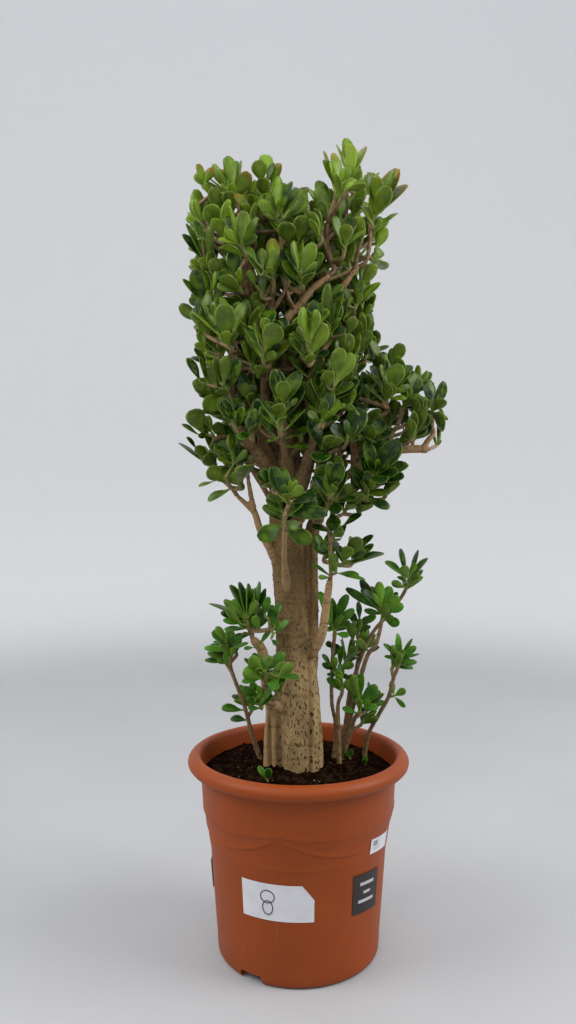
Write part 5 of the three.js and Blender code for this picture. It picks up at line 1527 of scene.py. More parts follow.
def bark_look(colours):
    """Beige bark: slits low down, dots above, ring scars, browner on thin limbs."""
    look, tree, shader, spot = new_look("jade_bark", 0.8, IOR=1.45, Specular_IOR_Level=0.25)
    ring, dot, groove_shade = vector_attribute(tree, "bark_marks")[:3]
    # The second value is painted shade in the bark's hollows and on darker limbs.
    girth, hollow_and_limb_shade, height = vector_attribute(tree, "bark_form")[:3]
    cloud = shared(tree, "Mottle", {
        "Vector": spot, "Scale": 60.0, "Stretch": (1.0, 1.0, 0.35), "Detail": 5.0, "Low": 0.36, "High": 0.68,
        "Colour A": rgb(colours.pale), "Colour B": rgb(colours.dark)})
    skin = blend(tree, 0.55, rgb(colours.pale), cloud.outputs["Colour"])
    # Painted shade of the crown: the trunk's bark darkens between 0.34 m and 0.54 m up.
    for mask, strength, colour in (
            (hollow_and_limb_shade, 0.55, colours.dark), (rise(tree, height, 0.34, 0.54), 0.85, colours.dark),
            (rise(tree, girth, 0.50, 0.16), 0.80, colours.twig)):
        skin = tint(tree, skin, mask, strength, rgb(colour))
    wave = grainy(tree, spot, 110.0, 2.0)
    bent = add(tree, "ShaderNodeVectorMath", {"operation": "MULTIPLY_ADD"},
               {0: wave.outputs["Color"], 1: (0.008, 0.008, 0.008), 2: spot})
    x, y, z = add(tree, "ShaderNodeSeparateXYZ", None, {0: bent.outputs[0]}).outputs
    turn = maths(tree, "ARCTAN2", maths(tree, "ADD", x, 0.004), times(tree, y, -1.0))
    unrolled = add(tree, "ShaderNodeCombineXYZ", None, {
        0: maths(tree, "MULTIPLY_ADD", z, 22.0, times(tree, turn, 7.6)), 1: times(tree, z, 74.0)})
    cells = add(tree, "ShaderNodeTexVoronoi", {"voronoi_dimensions": "2D"},
                {"Vector": unrolled.outputs[0], "Scale": 1.0, "Randomness": 1.0})
    split = add(tree, "ShaderNodeSeparateColor", None, {0: cells.outputs["Color"]})
    size = maths(tree, "MULTIPLY_ADD", split.outputs[1], 0.17, 0.13)
    ragged = maths(tree, "MULTIPLY_ADD", wave.outputs[0], 0.10, -0.05)
    inner = maths(tree, "SUBTRACT", size, maths(tree, "ADD", cells.outputs["Distance"], ragged))
    low = times(tree, rise(tree, height, 0.54, 0.40), maths(tree, "LESS_THAN", split.outputs[0], 0.86))
    low = times(tree, low, rise(tree, girth, 0.5, 0.75))
    slit = times(tree, rise(tree, inner, -0.02, 0.05), low)
    lip = times(tree, rise(tree, inner, -0.16, 0.0), low)
    fleck = shared(tree, "Speckles", {
        "Vector": bent.outputs[0], "Scale": 230.0, "Size": 0.42, "Share": 0.55})
    upper = rise(tree, height, 0.33, 0.46)
    specks = times(tree, fleck.outputs[0], upper)
    skin = tint(tree, skin, lip, 0.25, rgb(colours.pale, 1.3))
    # The grooves are painted dark as their shade; the slits, dots and ring scars are real marks.
    for mask, strength, colour in (
            (specks, 0.85, colours.slit), (dot, 0.55, colours.slit), (ring, 0.65, colours.dark),
            (groove_shade, 0.75, colours.dark), (slit, 0.9, colours.slit)):
        skin = tint(tree, skin, mask, strength, rgb(colour))
    grain = grainy(tree, spot, 380.0, 6.0)
    raised = maths(tree, "MULTIPLY_ADD", specks, 0.8, grain.outputs[0])
    relief = maths(tree, "MULTIPLY_ADD", slit, -1.6, raised)
    finish_look(tree, shader, skin, relief, 0.8, 0.0022)
    return look


def pot_look(colours):
    """Satin moulded plastic, dusty where it is rubbed, with painted shade in the creases under the garland.
    """
    look, tree, shader, spot = new_look("pot_plastic", 0.5, IOR=1.45, Specular_IOR_Level=0.30)
    plastic = colours.plastic
    cloud = mottled(tree, spot, 14.0, 4.0, 0.3, 0.8, rgb(plastic), rgb(plastic, 1.16))
    scrape = shared(tree, "Mottle", {
        "Vector": spot, "Scale": 90.0, "Stretch": (1.0, 1.0, 0.18), "Detail": 6.0, "Low": 0.64, "High": 0.74})
    skin = tint(tree, cloud.outputs["Colour"], scrape.outputs["Mask"], 0.20, rgb(colours.scuff))
    dirt = shared(tree, "Speckles", {"Vector": spot, "Scale": 130.0, "Size": 0.10, "Share": 0.10})
    skin = tint(tree, skin, dirt.outputs[0], 0.55, rgb(plastic, 0.3))
    # Painted shade in the creases under the garland's ridges.
    shaded_crease = vector_attribute(tree, "garland_shade")[0]
    skin = tint(tree, skin, shaded_crease, 0.62, rgb(plastic, 0.35))
    split = add(tree, "ShaderNodeSeparateXYZ", None, {0: spot})
    foot = times(tree, rise(tree, split.outputs[2], 0.03, 0.0), scrape.outputs["Mask"])
    skin = tint(tree, skin, foot, 0.5, rgb(colours.soil_dry))
    rough = maths(tree, "MULTIPLY_ADD", cloud.outputs["Mask"], 0.10, 0.44)
    tree.links.new(rough, shader.inputs["Roughness"])
    grain = grainy(tree, spot, 1400.0, 2.0)
    finish_look(tree, shader, skin, grain.outputs[0], 0.12, 0.0004)
    return look


def soil_look(colours):
    """Damp crumbly soil."""
    look, tree, shader, spot = new_look("potting_soil", 0.95, Specular_IOR_Level=0.0)
    cloud = mottled(tree, spot, 130.0, 8.0, 0.42, 0.66, rgb(colours.soil), rgb(colours.soil_dry))
    bits = shared(tree, "Speckles", {"Vector": spot, "Scale": 330.0, "Size": 0.35, "Share": 0.12})
    skin = tint(tree, cloud.outputs["Colour"], bits.outputs[0], 0.5, rgb(colours.soil_dry, 1.7))
    grain = grainy(tree, spot, 420.0, 8.0)
    finish_look(tree, shader, skin, grain.outputs[0], 0.9, 0.003)
    return look


def perlite_look(colours):
    """Pale mineral grains in the soil."""
    look, tree, shader, spot = new_look("perlite", 0.9, Specular_IOR_Level=0.1)
    cloud = mottled(tree, spot, 500.0, 3.0, 0.35, 0.65, (0.26, 0.22, 0.17, 1.0), rgb(colours.soil_dry, 4))
    finish_look(tree, shader, cloud.outputs["Colour"])
    return look


def sheet_look(name, base, worn, roughness, bars=None, ink=None):
    """Sticker stock, with optional printed bars as (low, high, left, right) on the sheet."""
    look, tree, shader, spot = new_look(name, roughness, IOR=1.45)
    skin = mottled(tree, spot, 45.0, 5.0, 0.35, 0.75, rgb(base), rgb(worn)).outputs["Colour"]
    if bars:
        x, y = vector_attribute(tree, "sheet_at")[:2]
        for low, high, left, right in bars:
            tall = times(tree, maths(tree, "GREATER_THAN", y, low), maths(tree, "LESS_THAN", y, high))
            wide = times(tree, maths(tree, "GREATER_THAN", x, left), maths(tree, "LESS_THAN", x, right))
            skin = blend(tree, times(tree, tall, wide), skin, rgb(ink))
    grain = grainy(tree, spot, 220.0, 5.0)
    finish_look(tree, shader, skin, grain.outputs[0], 0.15, 0.0006)
    return look


# ---------- pieces ----------

# Stickers: degrees round the wall, heights, how far they sink to the right, thickness, slot.
STICKERS = {
    "paper_label": ((-37, 9), (95, 145), 0, 0.5, "label_paper"),
    "white_sticker": ((47, 68), (170, 191), 4, 0.4, "label_paper"),
    "dark_sticker": ((35, 59), (92, 147), 4, 0.4, "dark_label"),
    "side_sticker": ((-99, -87), (86, 126), 0, 1.6, "dark_label"),
}
# A leaf from its base to its tip: place along it, width and thickness, as shares of its own.
LEAF_STATIONS = ((0.00, 0.14, 0.70), (0.10, 0.18, 0.80), (0.26, 0.44, 0.92), (0.44, 0.82, 1.00),
                 (0.60, 0.99, 0.95), (0.75, 0.95, 0.84), (0.88, 0.71, 0.64), (0.97, 0.34, 0.36))
# How far the tip bends up, how far the margins cup up, and the twist in degrees.
LEAF_FORMS = ((0.05, 0.10, 0), (0.12, 0.05, 6), (-0.06, 0.07, -5), (0.02, 0.14, 4), (-0.12, 0.03, 0))


def model_leaf(index, thickness):
    """One leaf, 1 m long along +Y with its upper side up, to be scaled for every copy."""
    lift, cup, twist = LEAF_FORMS[index]
    rings = [((0, y, 0), (w / 2, t * thickness / 2)) for y, w, t in LEAF_STATIONS]
    obj = loft(f"leaf_form_{index + 1}", rings, 8, upright=False)
    x, y, z = (corners(obj) * MM).T
    places, widths, _ = zip(*LEAF_STATIONS)
    across = (x / (np.interp(y, places, widths) / 2)).clip(-1, 1)
    face = np.sign(np.round(z, 6))
    z = z + lift * (y ** 2) * 0.9 + cup * (x * 2) ** 2 * 0.6
    turn = np.radians(twist) * y
    c, s = np.cos(turn), np.sin(turn)
    put_corners(obj, np.column_stack((x * c - z * s, y, x * s + z * c)) / MM)
    mark(obj, "leaf_at", np.column_stack((across, y, face)))
    return obj


def shoot_piece(name, points, radii, woody):
    """A shoot with swollen rings where leaves once grew."""
    dense, thick, run = smooth_path(points, radii, 3.5)
    swell = np.exp(-(((run + 5) % 14 - 7) / 1.8) ** 2)
    thick = thick * (1 + 0.10 * swell)
    thick[-1] *= 0.7
    obj = tube(name, dense, thick, 8)
    tree = finder(dense * MM)
    nearest = [tree.find(v.co)[1] for v in obj.data.vertices]
    share = 1 - (run[-1] - run) / 62
    # Painted shade: shoots deep inside the crown are greyed like the woody stems.
    reach = np.hypot(dense[:, 0] / CROWN_REACH[0], dense[:, 1] / CROWN_REACH[1])
    inner = (1.15 - reach).clip(0, 1) * 1.4
    values = np.column_stack((share.clip(0, 1), swell * 0.6, np.maximum(woody, inner)))
    mark(obj, "shoot_at", values[nearest])
    return obj


def clamp(value):
    """The value kept between 0 and 1."""
    return max(0, min(1, value))


def skin_of(leaf, small, rng):
    """A leaf's tone from dark to light, with painted shade deep inside the crown and painted light on its
    outer leaves, its blush and its streaks, and how young its green is.
    """
    height = leaf["root"][2]
    reach = math.hypot(leaf["centre"][0] / CROWN_REACH[0], leaf["centre"][1] / CROWN_REACH[1])
    tone = -0.10 + 0.68 * clamp((height - 740) / 340) + rng.normal(0, 0.15)
    # Painted shade and light: leaves near the axis get a darker tone, outer leaves a lighter one.
    tone += 0.10 * small + 0.36 * (min(1, reach) - 0.66) if height > 600 else 0.46
    flush = 1.6 * max(0, rng.normal(-0.35, 0.42)) * clamp((height - 900) / 180)
    drawn = leaf.get("more", ())
    if drawn:
        ripe = clamp((height - 740) / 310) if height > 560 else 0.55
        tone = drawn[0] * mix(0.50, 1.02, ripe) + 0.10 * (height < 560) + rng.normal(0, 0.04)
    if "more" in leaf:
        flush = drawn[1] if len(drawn) > 1 else 0
    look = (clamp(tone), min(1, flush), rng.random() * min(1, height / 900))
    return look, clamp((CROWN_FOOT - height) / 120) * 0.95


def leafy_piece(name, growth, masters, looks, rng, low):
    """One spray or sucker: its shoots and all its leaves in one mesh."""
    parts = []
    for i, (points, radii) in enumerate(growth.shoots[name]):
        if low and i == 0:
            radii = [5.0, 4.6]
        elif low and radii[0] > 3:
            radii = [max(r, mix(4.4, r, min(1, k / 3))) for k, r in enumerate(radii)]
        parts.append(shoot_piece(f"{name}_shoot_{i}", points, radii, 1.0 if low else 0.0))
        parts[-1].data.materials.append(looks["shoot"])
    breadth = bpy.context.scene.jade_leaf.breadth
    for leaf in growth.leaves[name]:
        small = leaf["length"] < 30
        form = masters[0 if small else rng.integers(len(masters))]
        x = -leaf["side"] * leaf["width"] * breadth
        y = leaf["along"] * leaf["length"]
        z = leaf["face"] * leaf["length"] * (1.15 if small else 1.0)
        matrix = Matrix(np.vstack((np.column_stack((x, y, z, leaf["root"])) * MM, (0, 0, 0, 1))))
        blade = copy_of(form, matrix)
        count = len(blade.data.vertices)
        look, young = skin_of(leaf, small, rng)
        mark(blade, "leaf_look", np.tile(look, (count, 1)))
        mark(blade, "leaf_kind", np.tile((young, 0, 0), (count, 1)))
        blade.data.materials.append(looks["leaf"])
        parts.append(blade)
    obj = join(parts, name + "_leafy")
    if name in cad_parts:
        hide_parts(name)
    return dress(obj)


class SharedParts:
    """What several operators need: the growth, the leaf forms and the looks."""

    growth = None
    masters = None
    looks = None

    @classmethod
    def ready(cls):
        """Grows the plant and models the leaf forms once."""
        if cls.growth is None:
            cls.growth = Growth()
            fill_crown(cls.growth)
            leaf, bark = bpy.context.scene.jade_leaf, bpy.context.scene.jade_bark
            cls.masters = [model_leaf(i, leaf.thickness) for i in range(len(LEAF_FORMS))]
            cls.looks = {"leaf": leaf_look(leaf), "shoot": shoot_look(leaf, bark)}
        return cls

    @classmethod
    def clear_masters(cls):
        """Removes the leaf forms when all copies are made."""
        for master in cls.masters:
            bpy.data.objects.remove(master, do_unlink=True)
        cls.masters = None


def build_sprays(names, seed, low=False):
    """Builds one leafy piece for each of the nodes."""
    parts = SharedParts.ready()
    rng = np.random.default_rng(seed)
    for name in names:
        leafy_piece(name, parts.growth, parts.masters, parts.looks, rng, low)


class JADE_OT_crown(bpy.types.Operator):
    """Builds the leafy sprays that face the front and sides"""

    bl_idname = "jade.crown"
    bl_label = "Crown Sprays"
    bl_options = {"REGISTER", "UNDO"}

    def execute(self, context):
        """Builds one piece for each spray of the crown."""
        build_sprays([*SPRAYS, "inner_shoots"], 5)
        return {"FINISHED"}


class JADE_OT_far_side(bpy.types.Operator):
    """Builds the leafy sprays at the back of the crown"""

    bl_idname = "jade.far_side"
    bl_label = "Back Sprays"
    bl_options = {"REGISTER", "UNDO"}

    def execute(self, context):
        """Builds one piece for each spray at the back."""
        names = [f"spray_back_{half}_{ring + 1}" for ring in range(BACK_RINGS) for half in ("right", "left")]
        build_sprays(names, 6)
        return {"FINISHED"}


class JADE_OT_suckers(bpy.types.Operator):
    """Builds the young stems that stand in the soil"""

    bl_idname = "jade.suckers"
    bl_label = "Suckers"
    bl_options = {"REGISTER", "UNDO"}

    def execute(self, context):
        """Builds one piece for each sucker."""
        build_sprays(SUCKERS, 7, low=True)
        return {"FINISHED"}


# Where old leaves have left rings round the trunk.
SCAR_HEIGHTS = (281, 300, 372, 455, 500, 566, 612)


class JADE_OT_wood(bpy.types.Operator):
    """Builds the trunk and its limbs as one piece of wood with bark"""

    bl_idname = "jade.wood"
    bl_label = "Trunk and Limbs"
    bl_options = {"REGISTER", "UNDO"}

    def execute(self, context):
        """Joins the limbs, melts them together and carves the bark."""
        settings = context.scene.jade_bark
        limbs, spots, girths, shades, scars = [], [], [], [], []
        for name, stations in WOOD.items():
            points = [place(s[:3]) for s in stations]
            radii = [s[3] for s in stations]
            if stations[0][1] < 270:
                points.insert(0, points[0] - UP * 30)
                radii.insert(0, radii[0] * 1.04)
            dense, thick, _ = smooth_path(points, radii, 5)
            limbs.append(tube(name, dense, thick, 24 if name == "trunk" else 14))
            spots.append(dense)
            girths.append(thick)
            shades.append(np.full(len(thick), LIMB_SHADES.get(name, 0.0)))
            if name != "trunk":
                ways = np.gradient(dense, axis=0)
                for k in range(5, len(dense) - 1, 6):
                    scars.append((dense[k], unit(ways[k]), thick[k]))
        wood = join(limbs, "jade_wood")
        modify(wood, "REMESH", mode="VOXEL", voxel_size=settings.grain)
        modify(wood, "SMOOTH", factor=0.5, iterations=7)
        carve_bark(wood, np.vstack(spots), np.concatenate(girths), np.concatenate(shades), scars, settings)
        pick(wood)
        bpy.ops.object.shade_smooth()
        dress(wood, bark_look(settings))
        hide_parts("trunk")
        return {"FINISHED"}


# Upright grooves in front, where stems have grown together: place on the board, top and depth.
GROOVES = ((-41, 352, 3.2), (-28, 345, 3.4), (-22, 330, 1.2), (19, 372, 1.6), (17, 640, 2.6))


def girth_of(places, spots, girths, shades):
    """The thickness and the shade of the limb that each place belongs to, smoothly mixed."""
    made = np.empty((len(places), 2))
    values = np.column_stack((girths, shades))
    for first in range(0, len(places), 2000):
        part = places[first:first + 2000]
        off = np.sqrt(((part[:, None] - spots[None]) ** 2).sum(-1)) - girths[None]
        share = np.exp(-(off - off.min(1, keepdims=True)) / 1.2)
        made[first:first + 2000] = (share @ values) / share.sum(1, keepdims=True)
    return made.T


# How dark the bark of some limbs is; on the right stem this is painted shade as well as darker bark.
LIMB_SHADES = {"right_stem": 0.85, "front_twig": 0.1, "left_stem": 0.3, "low_branch": 0.1}


def carve_bark(wood, spots, girths, shades, scars, settings):
    """Moves the bark in and out and stores what the paint needs."""
    places, ways = corners(wood), vertex_rows(wood, "normal")
    rng = np.random.default_rng(11)
    girth, shade = girth_of(places, spots, girths, shades)
    thick = (girth / 30).clip(0, 1)
    relief = settings.relief / MM
    lumps = ripple(places, 26, (1, 1, 2.2)) * 0.8 + ripple(places, 9, (1, 1, 1.6), 7.0) * 0.35
    flutes = ripple(places, 15, (1, 1, 9), 3.0)
    knobs = ripple(places, 5.5, (1, 1, 2.4), 17.0)
    move = lumps * relief * (0.25 + thick) + flutes * relief * 0.9 * thick + knobs * 0.42 * (0.3 + thick)
    # Painted shade where the lumps and flutes sink in, and the darker bark of some limbs.
    hollow_and_limb_shade = np.maximum((-(lumps + flutes) * 0.9).clip(0, 1), shade * 1.6)
    dots_up = scatter_dots(places, (places[:, 2] > 400) & (girth > 8), settings.dots, rng)
    move += 0.9 * dots_up
    reach = -EYE[1] / (places[:, 1] - EYE[1])
    across = EYE[0] + (places[:, 0] - EYE[0]) * reach
    # Painted shade in the grooves where stems have grown together; they are cut in as well.
    groove_shade = np.zeros(len(places))
    for x, top, depth in GROOVES:
        wander = ripple(places, 40, seed=x) * 1.6
        line = np.exp(-((across - x - wander) / 2.3) ** 2) * (places[:, 1] < 12)
        line *= ((top - places[:, 2]) / 30).clip(0, 1)
        groove_shade = np.maximum(groove_shade, line * min(1, depth / 3))
        move -= line * depth
    ring = np.zeros(len(places))
    wobble = ripple(places, 30, seed=12.0) * 3
    on_trunk = (girth > 17).astype(float)
    for height in SCAR_HEIGHTS:
        off = (places[:, 2] - height - wobble) / 1.6
        ring = np.maximum(ring, np.exp(-off ** 2) * on_trunk * 0.8)
        move += np.exp(-(off - 1.9) ** 2) * 0.35 * on_trunk
    for centre, way, radius in scars:
        off = places - centre
        near = dots(off, off) < (radius * 1.35) ** 2
        along = (off[near] @ way + wobble[near] * 0.3) / 1.1
        ring[near] = np.maximum(ring[near], np.exp(-along ** 2))
    move -= ring * 0.6
    put_corners(wood, places + ways * move[:, None])
    mark(wood, "bark_marks", np.column_stack((ring, dots_up, groove_shade)))
    mark(wood, "bark_form", np.column_stack((thick, hollow_and_limb_shade, places[:, 2] * MM)))


def scatter_dots(places, allowed, count, rng):
    """Small raised dots on the bark, as a height from 0 to 1."""
    picked = rng.choice(np.flatnonzero(allowed), size=count, replace=False)
    size = rng.uniform(1.0, 1.7, count)
    tree = finder(places[picked])
    values = np.zeros(len(places))
    for k in np.flatnonzero(allowed):
        _, i, far = tree.find(Vector(places[k]))
        values[k] = math.exp(-(far / size[i]) ** 2)
    return values


# The pot's wall as (radius, height): up the outside, over the rim and down the inside.
POT_RINGS = (
    (22, 0), (24, 4), (104, 4), (106, 0), (109, 0), (112.6, 0.7), (115.2, 2.6), (116.7, 5.6), (117.3, 10),
    (117.7, 20), (118.2, 30), (119.8, 50), (121.2, 70), (122.8, 90), (124.2, 110), (125.6, 130), (127, 150),
    (128.6, 160), (129.2, 164), (129.8, 165.2), (129.5, 166.5), (131, 176), (131.8, 181), (132.6, 186),
    (133.3, 191), (134.4, 196), (135.8, 201), (137.1, 206), (138.2, 211), (138.6, 216), (139, 222),
    (139.5, 229), (140, 236), (140.3, 242), (140.6, 248), (141.1, 254),
    (141.9, 260.4), (144, 262.2), (148, 263), (152.5, 264), (156.4, 266), (159.2, 269.4), (160.2, 273.4),
    (159.5, 277.4), (157.2, 280.9), (153.8, 283.5), (150, 284.9), (146.6, 285), (144, 284), (142.2, 281.6),
    (141, 277), (139.6, 268), (138, 257), (136.6, 236), (134.8, 212), (130, 192), (123.8, 150), (118.8, 88),
    (112.4, 13), (108, 8.4))
NOTCH_TURNS = (-34, 86, 206)
BOW_TURNS = (-12, 78, 168, 258)
GARLAND_BAND = (176, 222)   # heights between which the wall is finer, for the relief


def wall_radius(z):
    """Radius of the pot's plain wall at a height."""
    return np.interp(z, (3, 30, 150, 193, 211, 240, 260), (117, 118, 127, 133.6, 138.2, 140.3, 141.6))


def garland(azimuth, z):
    """Relief of the garland on the wall and the painted shade of the crease under it, both from 0 to about 1.
    """
    height, shaded_crease = np.zeros(len(z)), np.zeros(len(z))
    for start in BOW_TURNS:
        share = ((azimuth - start) % 360) / 90
        hung = np.where((share > 0.035) & (share < 0.965), 1.0, 0.0)
        droop = (4 * share * (1 - share)).clip(0, 1) ** 0.85
        for sag, top, strength in ((9, 213, 0.7), (30, 209.5, 1.0)):
            off = z - (top - sag * droop)
            ledge = np.where(off > 0, np.exp(-(off / 4.5) ** 2), np.exp(-(off / 0.9) ** 2))
            height = np.maximum(height, hung * strength * ledge)
            shaded_crease = np.maximum(shaded_crease, hung * strength * np.exp(-((off + 1.3) / 1.2) ** 2))
        side = ((azimuth - start + 180) % 360 - 180) * math.pi / 180 * 132
        for lobe in (-1, 1):
            loop = ((side - lobe * 6.5) / 5.2) ** 2 + ((z - 213.5 - abs(side) * 0.25) / 3.6) ** 2
            height = np.maximum(height, 0.7 * np.exp(-loop ** 2))
            edge = ((side - lobe * (10 + (z - 211) * 0.7)) / 1.4) ** 2 + ((z - 212) / 5) ** 4
            shaded_crease = np.maximum(shaded_crease, 1.2 * np.exp(-edge))
            tail = (side - lobe * (4 + (210 - z) * 0.7)) / 1.5
            hangs = (z < 211) & (z > 200)
            height = np.maximum(height, 0.6 * np.exp(-tail ** 2) * hangs)
            shaded_crease = np.maximum(shaded_crease, 0.8 * np.exp(-((tail * 1.5 - lobe * 2.2) / 1.1) ** 2) * hangs)
        height = np.maximum(height, 0.8 * np.exp(-((side / 2.8) ** 2 + ((z - 212.5) / 3.2) ** 2)))
    (left, right), (low, high), *_ = STICKERS["white_sticker"]
    hidden = (z > low - 6) & (z < high + 1) & (azimuth > left - 1) & (azimuth < right + 1)
    return height * ~hidden, shaded_crease * ~hidden


class JADE_OT_pot(bpy.types.Operator):
    """Builds the round pot with its rolled rim, garland relief and foot notches"""

    bl_idname = "jade.pot"
    bl_label = "Pot"
    bl_options = {"REGISTER", "UNDO"}

    def execute(self, context):
        """Extrudes the wall, cuts the notches and raises the garland."""
        settings = context.scene.jade_pot
        pot = turned_form("plastic_pot", POT_RINGS, 144)
        low, high = GARLAND_BAND
        select_faces(pot, lambda c, n: low < c.z / MM < high and n.x * c.x + n.y * c.y > 0)
        bpy.ops.mesh.subdivide(number_cuts=3)
        close_edit()
        places = corners(pot)
        x, y, z = places.T
        radius = np.hypot(x, y)
        outer = (z > low - 1) & (z < high + 1) & (radius > wall_radius(z) - 2)
        azimuth = np.degrees(np.arctan2(x, -y))
        height, shaded_crease = garland(azimuth, z)
        grow = (height - 0.35 * shaded_crease) * outer * settings.relief / MM
        round_radius = np.where(outer, wall_radius(z) + 0.2, radius)
        scale = np.where(radius > 1, (round_radius + grow) / np.maximum(radius, 1), 1)
        places[:, :2] *= scale[:, None]
        put_corners(pot, places)
        # The first value is painted shade for the creases under the garland.
        mark(pot, "garland_shade", np.column_stack((shaded_crease * outer, height * outer, azimuth * 0)))
        cut_foot(pot)
        pick(pot)
        bpy.ops.object.shade_smooth_by_angle(angle=math.radians(35))
        dress(pot, pot_look(settings))
        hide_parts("pot")
        return {"FINISHED"}


def cut_foot(pot):
    """Cuts the foot notches and the drain holes."""
    cutters = []
    for azimuth in NOTCH_TURNS:
        clear_selection()
        bpy.ops.mesh.primitive_cube_add(size=1, location=(0, -0.116, 0))
        block = bpy.context.object
        block.scale = (0.035, 0.030, 0.024)
        settle(block, "notch")
        modify(block, "BEVEL", width=0.003, segments=3, limit_method="ANGLE")
        block.rotation_euler = (0, 0, math.radians(azimuth))
        cutters.append(settle(block, "notch"))
    for degrees in (45, 135, 225, 315):
        turn = math.radians(degrees)
        spot = (0.070 * math.sin(turn), -0.070 * math.cos(turn), 0.006)
        clear_selection()
        bpy.ops.mesh.primitive_cylinder_add(vertices=24, radius=0.006, depth=0.012, location=spot)
        cutters.append(settle(bpy.context.object, "drain"))
    cutter = join(cutters, "pot_cutter")
    modify(pot, "BOOLEAN", operation="DIFFERENCE", solver="EXACT", object=cutter)
    bpy.data.objects.remove(cutter, do_unlink=True)


# The soil's side as (radius, height). Its top goes on in rings 3 mm apart.
SOIL_SIDE = ((112, 8.8), (123.6, 150), (129.8, 192), (134.6, 212), (137.8, 256.5))


class JADE_OT_soil(bpy.types.Operator):
    """Builds the soil with its crumbs and pale grains"""

    bl_idname = "jade.soil"
    bl_label = "Soil"
    bl_options = {"REGISTER", "UNDO"}

    def execute(self, context):
        """Turns the soil from its side and top rings, roughens its top and scatters crumbs."""
        settings = context.scene.jade_pot
        top_rings = [(r, 262.5 - 5 * (r / 134) ** 3) for r in range(135, 8, -3)]
        soil = turned_form("soil_bed", [*SOIL_SIDE, *top_rings], 144)
        places = corners(soil)
        x, y, z = places.T
        radius = np.hypot(x, y)
        top = (z > 250) & (radius < 137)
        rough = sum(ripple(places, size, seed=seed) * high for size, seed, high in (
            (11, 0.0, 2.4), (4.5, 5.0, 1.7), (30, 9.0, 2)))
        near_wood = np.exp(-((np.hypot(x + 6, y) - 38) / 14).clip(0, 9))
        tilt = (y * 0.055 - 2).clip(-7, 3)
        places[:, 2] += top * (rough + tilt + 2.5 * near_wood * (radius < 100)).clip(-11, 6)
        put_corners(soil, places)
        soil.data.materials.append(soil_look(settings))
        crumbs = scatter_crumbs(places[top], soil.data.materials[0], perlite_look(settings))
        soil = dress(join([soil, *crumbs], "soil_bed"))
        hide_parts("soil")
        return {"FINISHED"}


def scatter_crumbs(ground, look, grain_look):
    """Crumbs of soil and pale grains, each a copy of one lump."""
    rng = np.random.default_rng(31)
    clear_selection()
    bpy.ops.mesh.primitive_ico_sphere_add(subdivisions=2, radius=1, location=(0, 0, 0))
    lump = bpy.context.object
    lump.name = "lump"
    lump.data.materials.append(look)
    places = corners(lump) * MM
    places *= (1 + 0.28 * ripple(places, 0.8))[:, None]
    put_corners(lump, places / MM)
    pick(lump)
    bpy.ops.object.shade_smooth()
    made = []
    for i in range(700):
        spot = ground[rng.integers(len(ground))] + rng.uniform(-2, 2, 3) * (1, 1, 0.2)
        if math.hypot(*spot[:2]) > 133:
            continue
        pale = i % 18 == 0
        size = rng.uniform(0.5, 1.1) if pale else rng.uniform(0.8, 2.6) ** 1.15
        turn = Matrix.Rotation(rng.uniform(0, 6.28), 4, Vector(rng.normal(size=3)).normalized())
        squash = Matrix.Diagonal((*(rng.uniform(0.7, 1.2, 3) * size * MM), 1))
        crumb = copy_of(lump, Matrix.Translation(Vector(spot * MM)) @ turn @ squash)
        if pale:
            crumb.data.materials.clear()
            crumb.data.materials.append(grain_look)
        made.append(crumb)
    bpy.data.objects.remove(lump, do_unlink=True)
    return made


def on_wall(sheet, across, up, lift):
    """Places in front of the pot's wall, from sheet coordinates across and up that go from 0 to 1."""
    turns, heights, drop, *_ = sheet
    z = mix(*heights, up) - drop * across
    turn = np.radians(mix(*turns, across))
    radius = wall_radius(z) + lift
    return np.column_stack((radius * np.sin(turn), -radius * np.cos(turn), z))


def sheet_piece(name, sheet, cut=None):
    """A sticker: a flat grid, its corner cut away, wrapped on the wall and given a thickness."""
    clear_selection()
    bpy.ops.mesh.primitive_grid_add(x_subdivisions=24, y_subdivisions=12, size=1, location=(0.5, 0.5, 0))
    obj = settle(bpy.context.object, name)
    if cut:
        edit(obj)
        bpy.ops.mesh.bisect(plane_co=cut[0], plane_no=cut[1], clear_outer=True)
        close_edit()
    flat = corners(obj) * MM
    mark(obj, "sheet_at", flat)
    across, up, _ = flat.T
    edge = np.minimum(np.minimum(across, 1 - across), np.minimum(up, 1 - up))
    curl = ripple(flat * 100, 26, seed=len(name) * 1.7)
    put_corners(obj, on_wall(sheet, across, up, 0.35 + (0.35 + 0.25 * curl) * np.exp(-(edge / 0.05))))
    outward_sheet(obj)
    modify(obj, "SOLIDIFY", thickness=sheet[3] * MM, offset=1.0)
    outward(obj)
    bpy.ops.object.shade_smooth_by_angle(angle=math.radians(40))
    return obj


def outward_sheet(obj):
    """Makes an open sheet face away from the pot."""
    face = obj.data.polygons[0]
    if face.normal.x * face.center.x + face.normal.y * face.center.y < 0:
        edit(obj)
        bpy.ops.mesh.flip_normals()
        close_edit()


def pen_number(sheet, ink):
    """A pen-drawn figure 8 on the paper label, in one stroke of two loops."""
    loops = []
    for middle, wide, tall, start, way in ((0.645, 0.095, 0.170, -70, -1), (0.345, 0.070, 0.190, 75, 1)):
        turn = np.radians(start + way * np.linspace(0, 350, 29))
        loops.append((0.378 + wide * np.cos(turn), middle + tall * np.sin(turn)))
    path = on_wall(sheet, *np.hstack(loops), 1.1)
    number = tube("pen_number", path, [0.65] * len(path), 6)
    number.data.materials.append(ink)
    return number


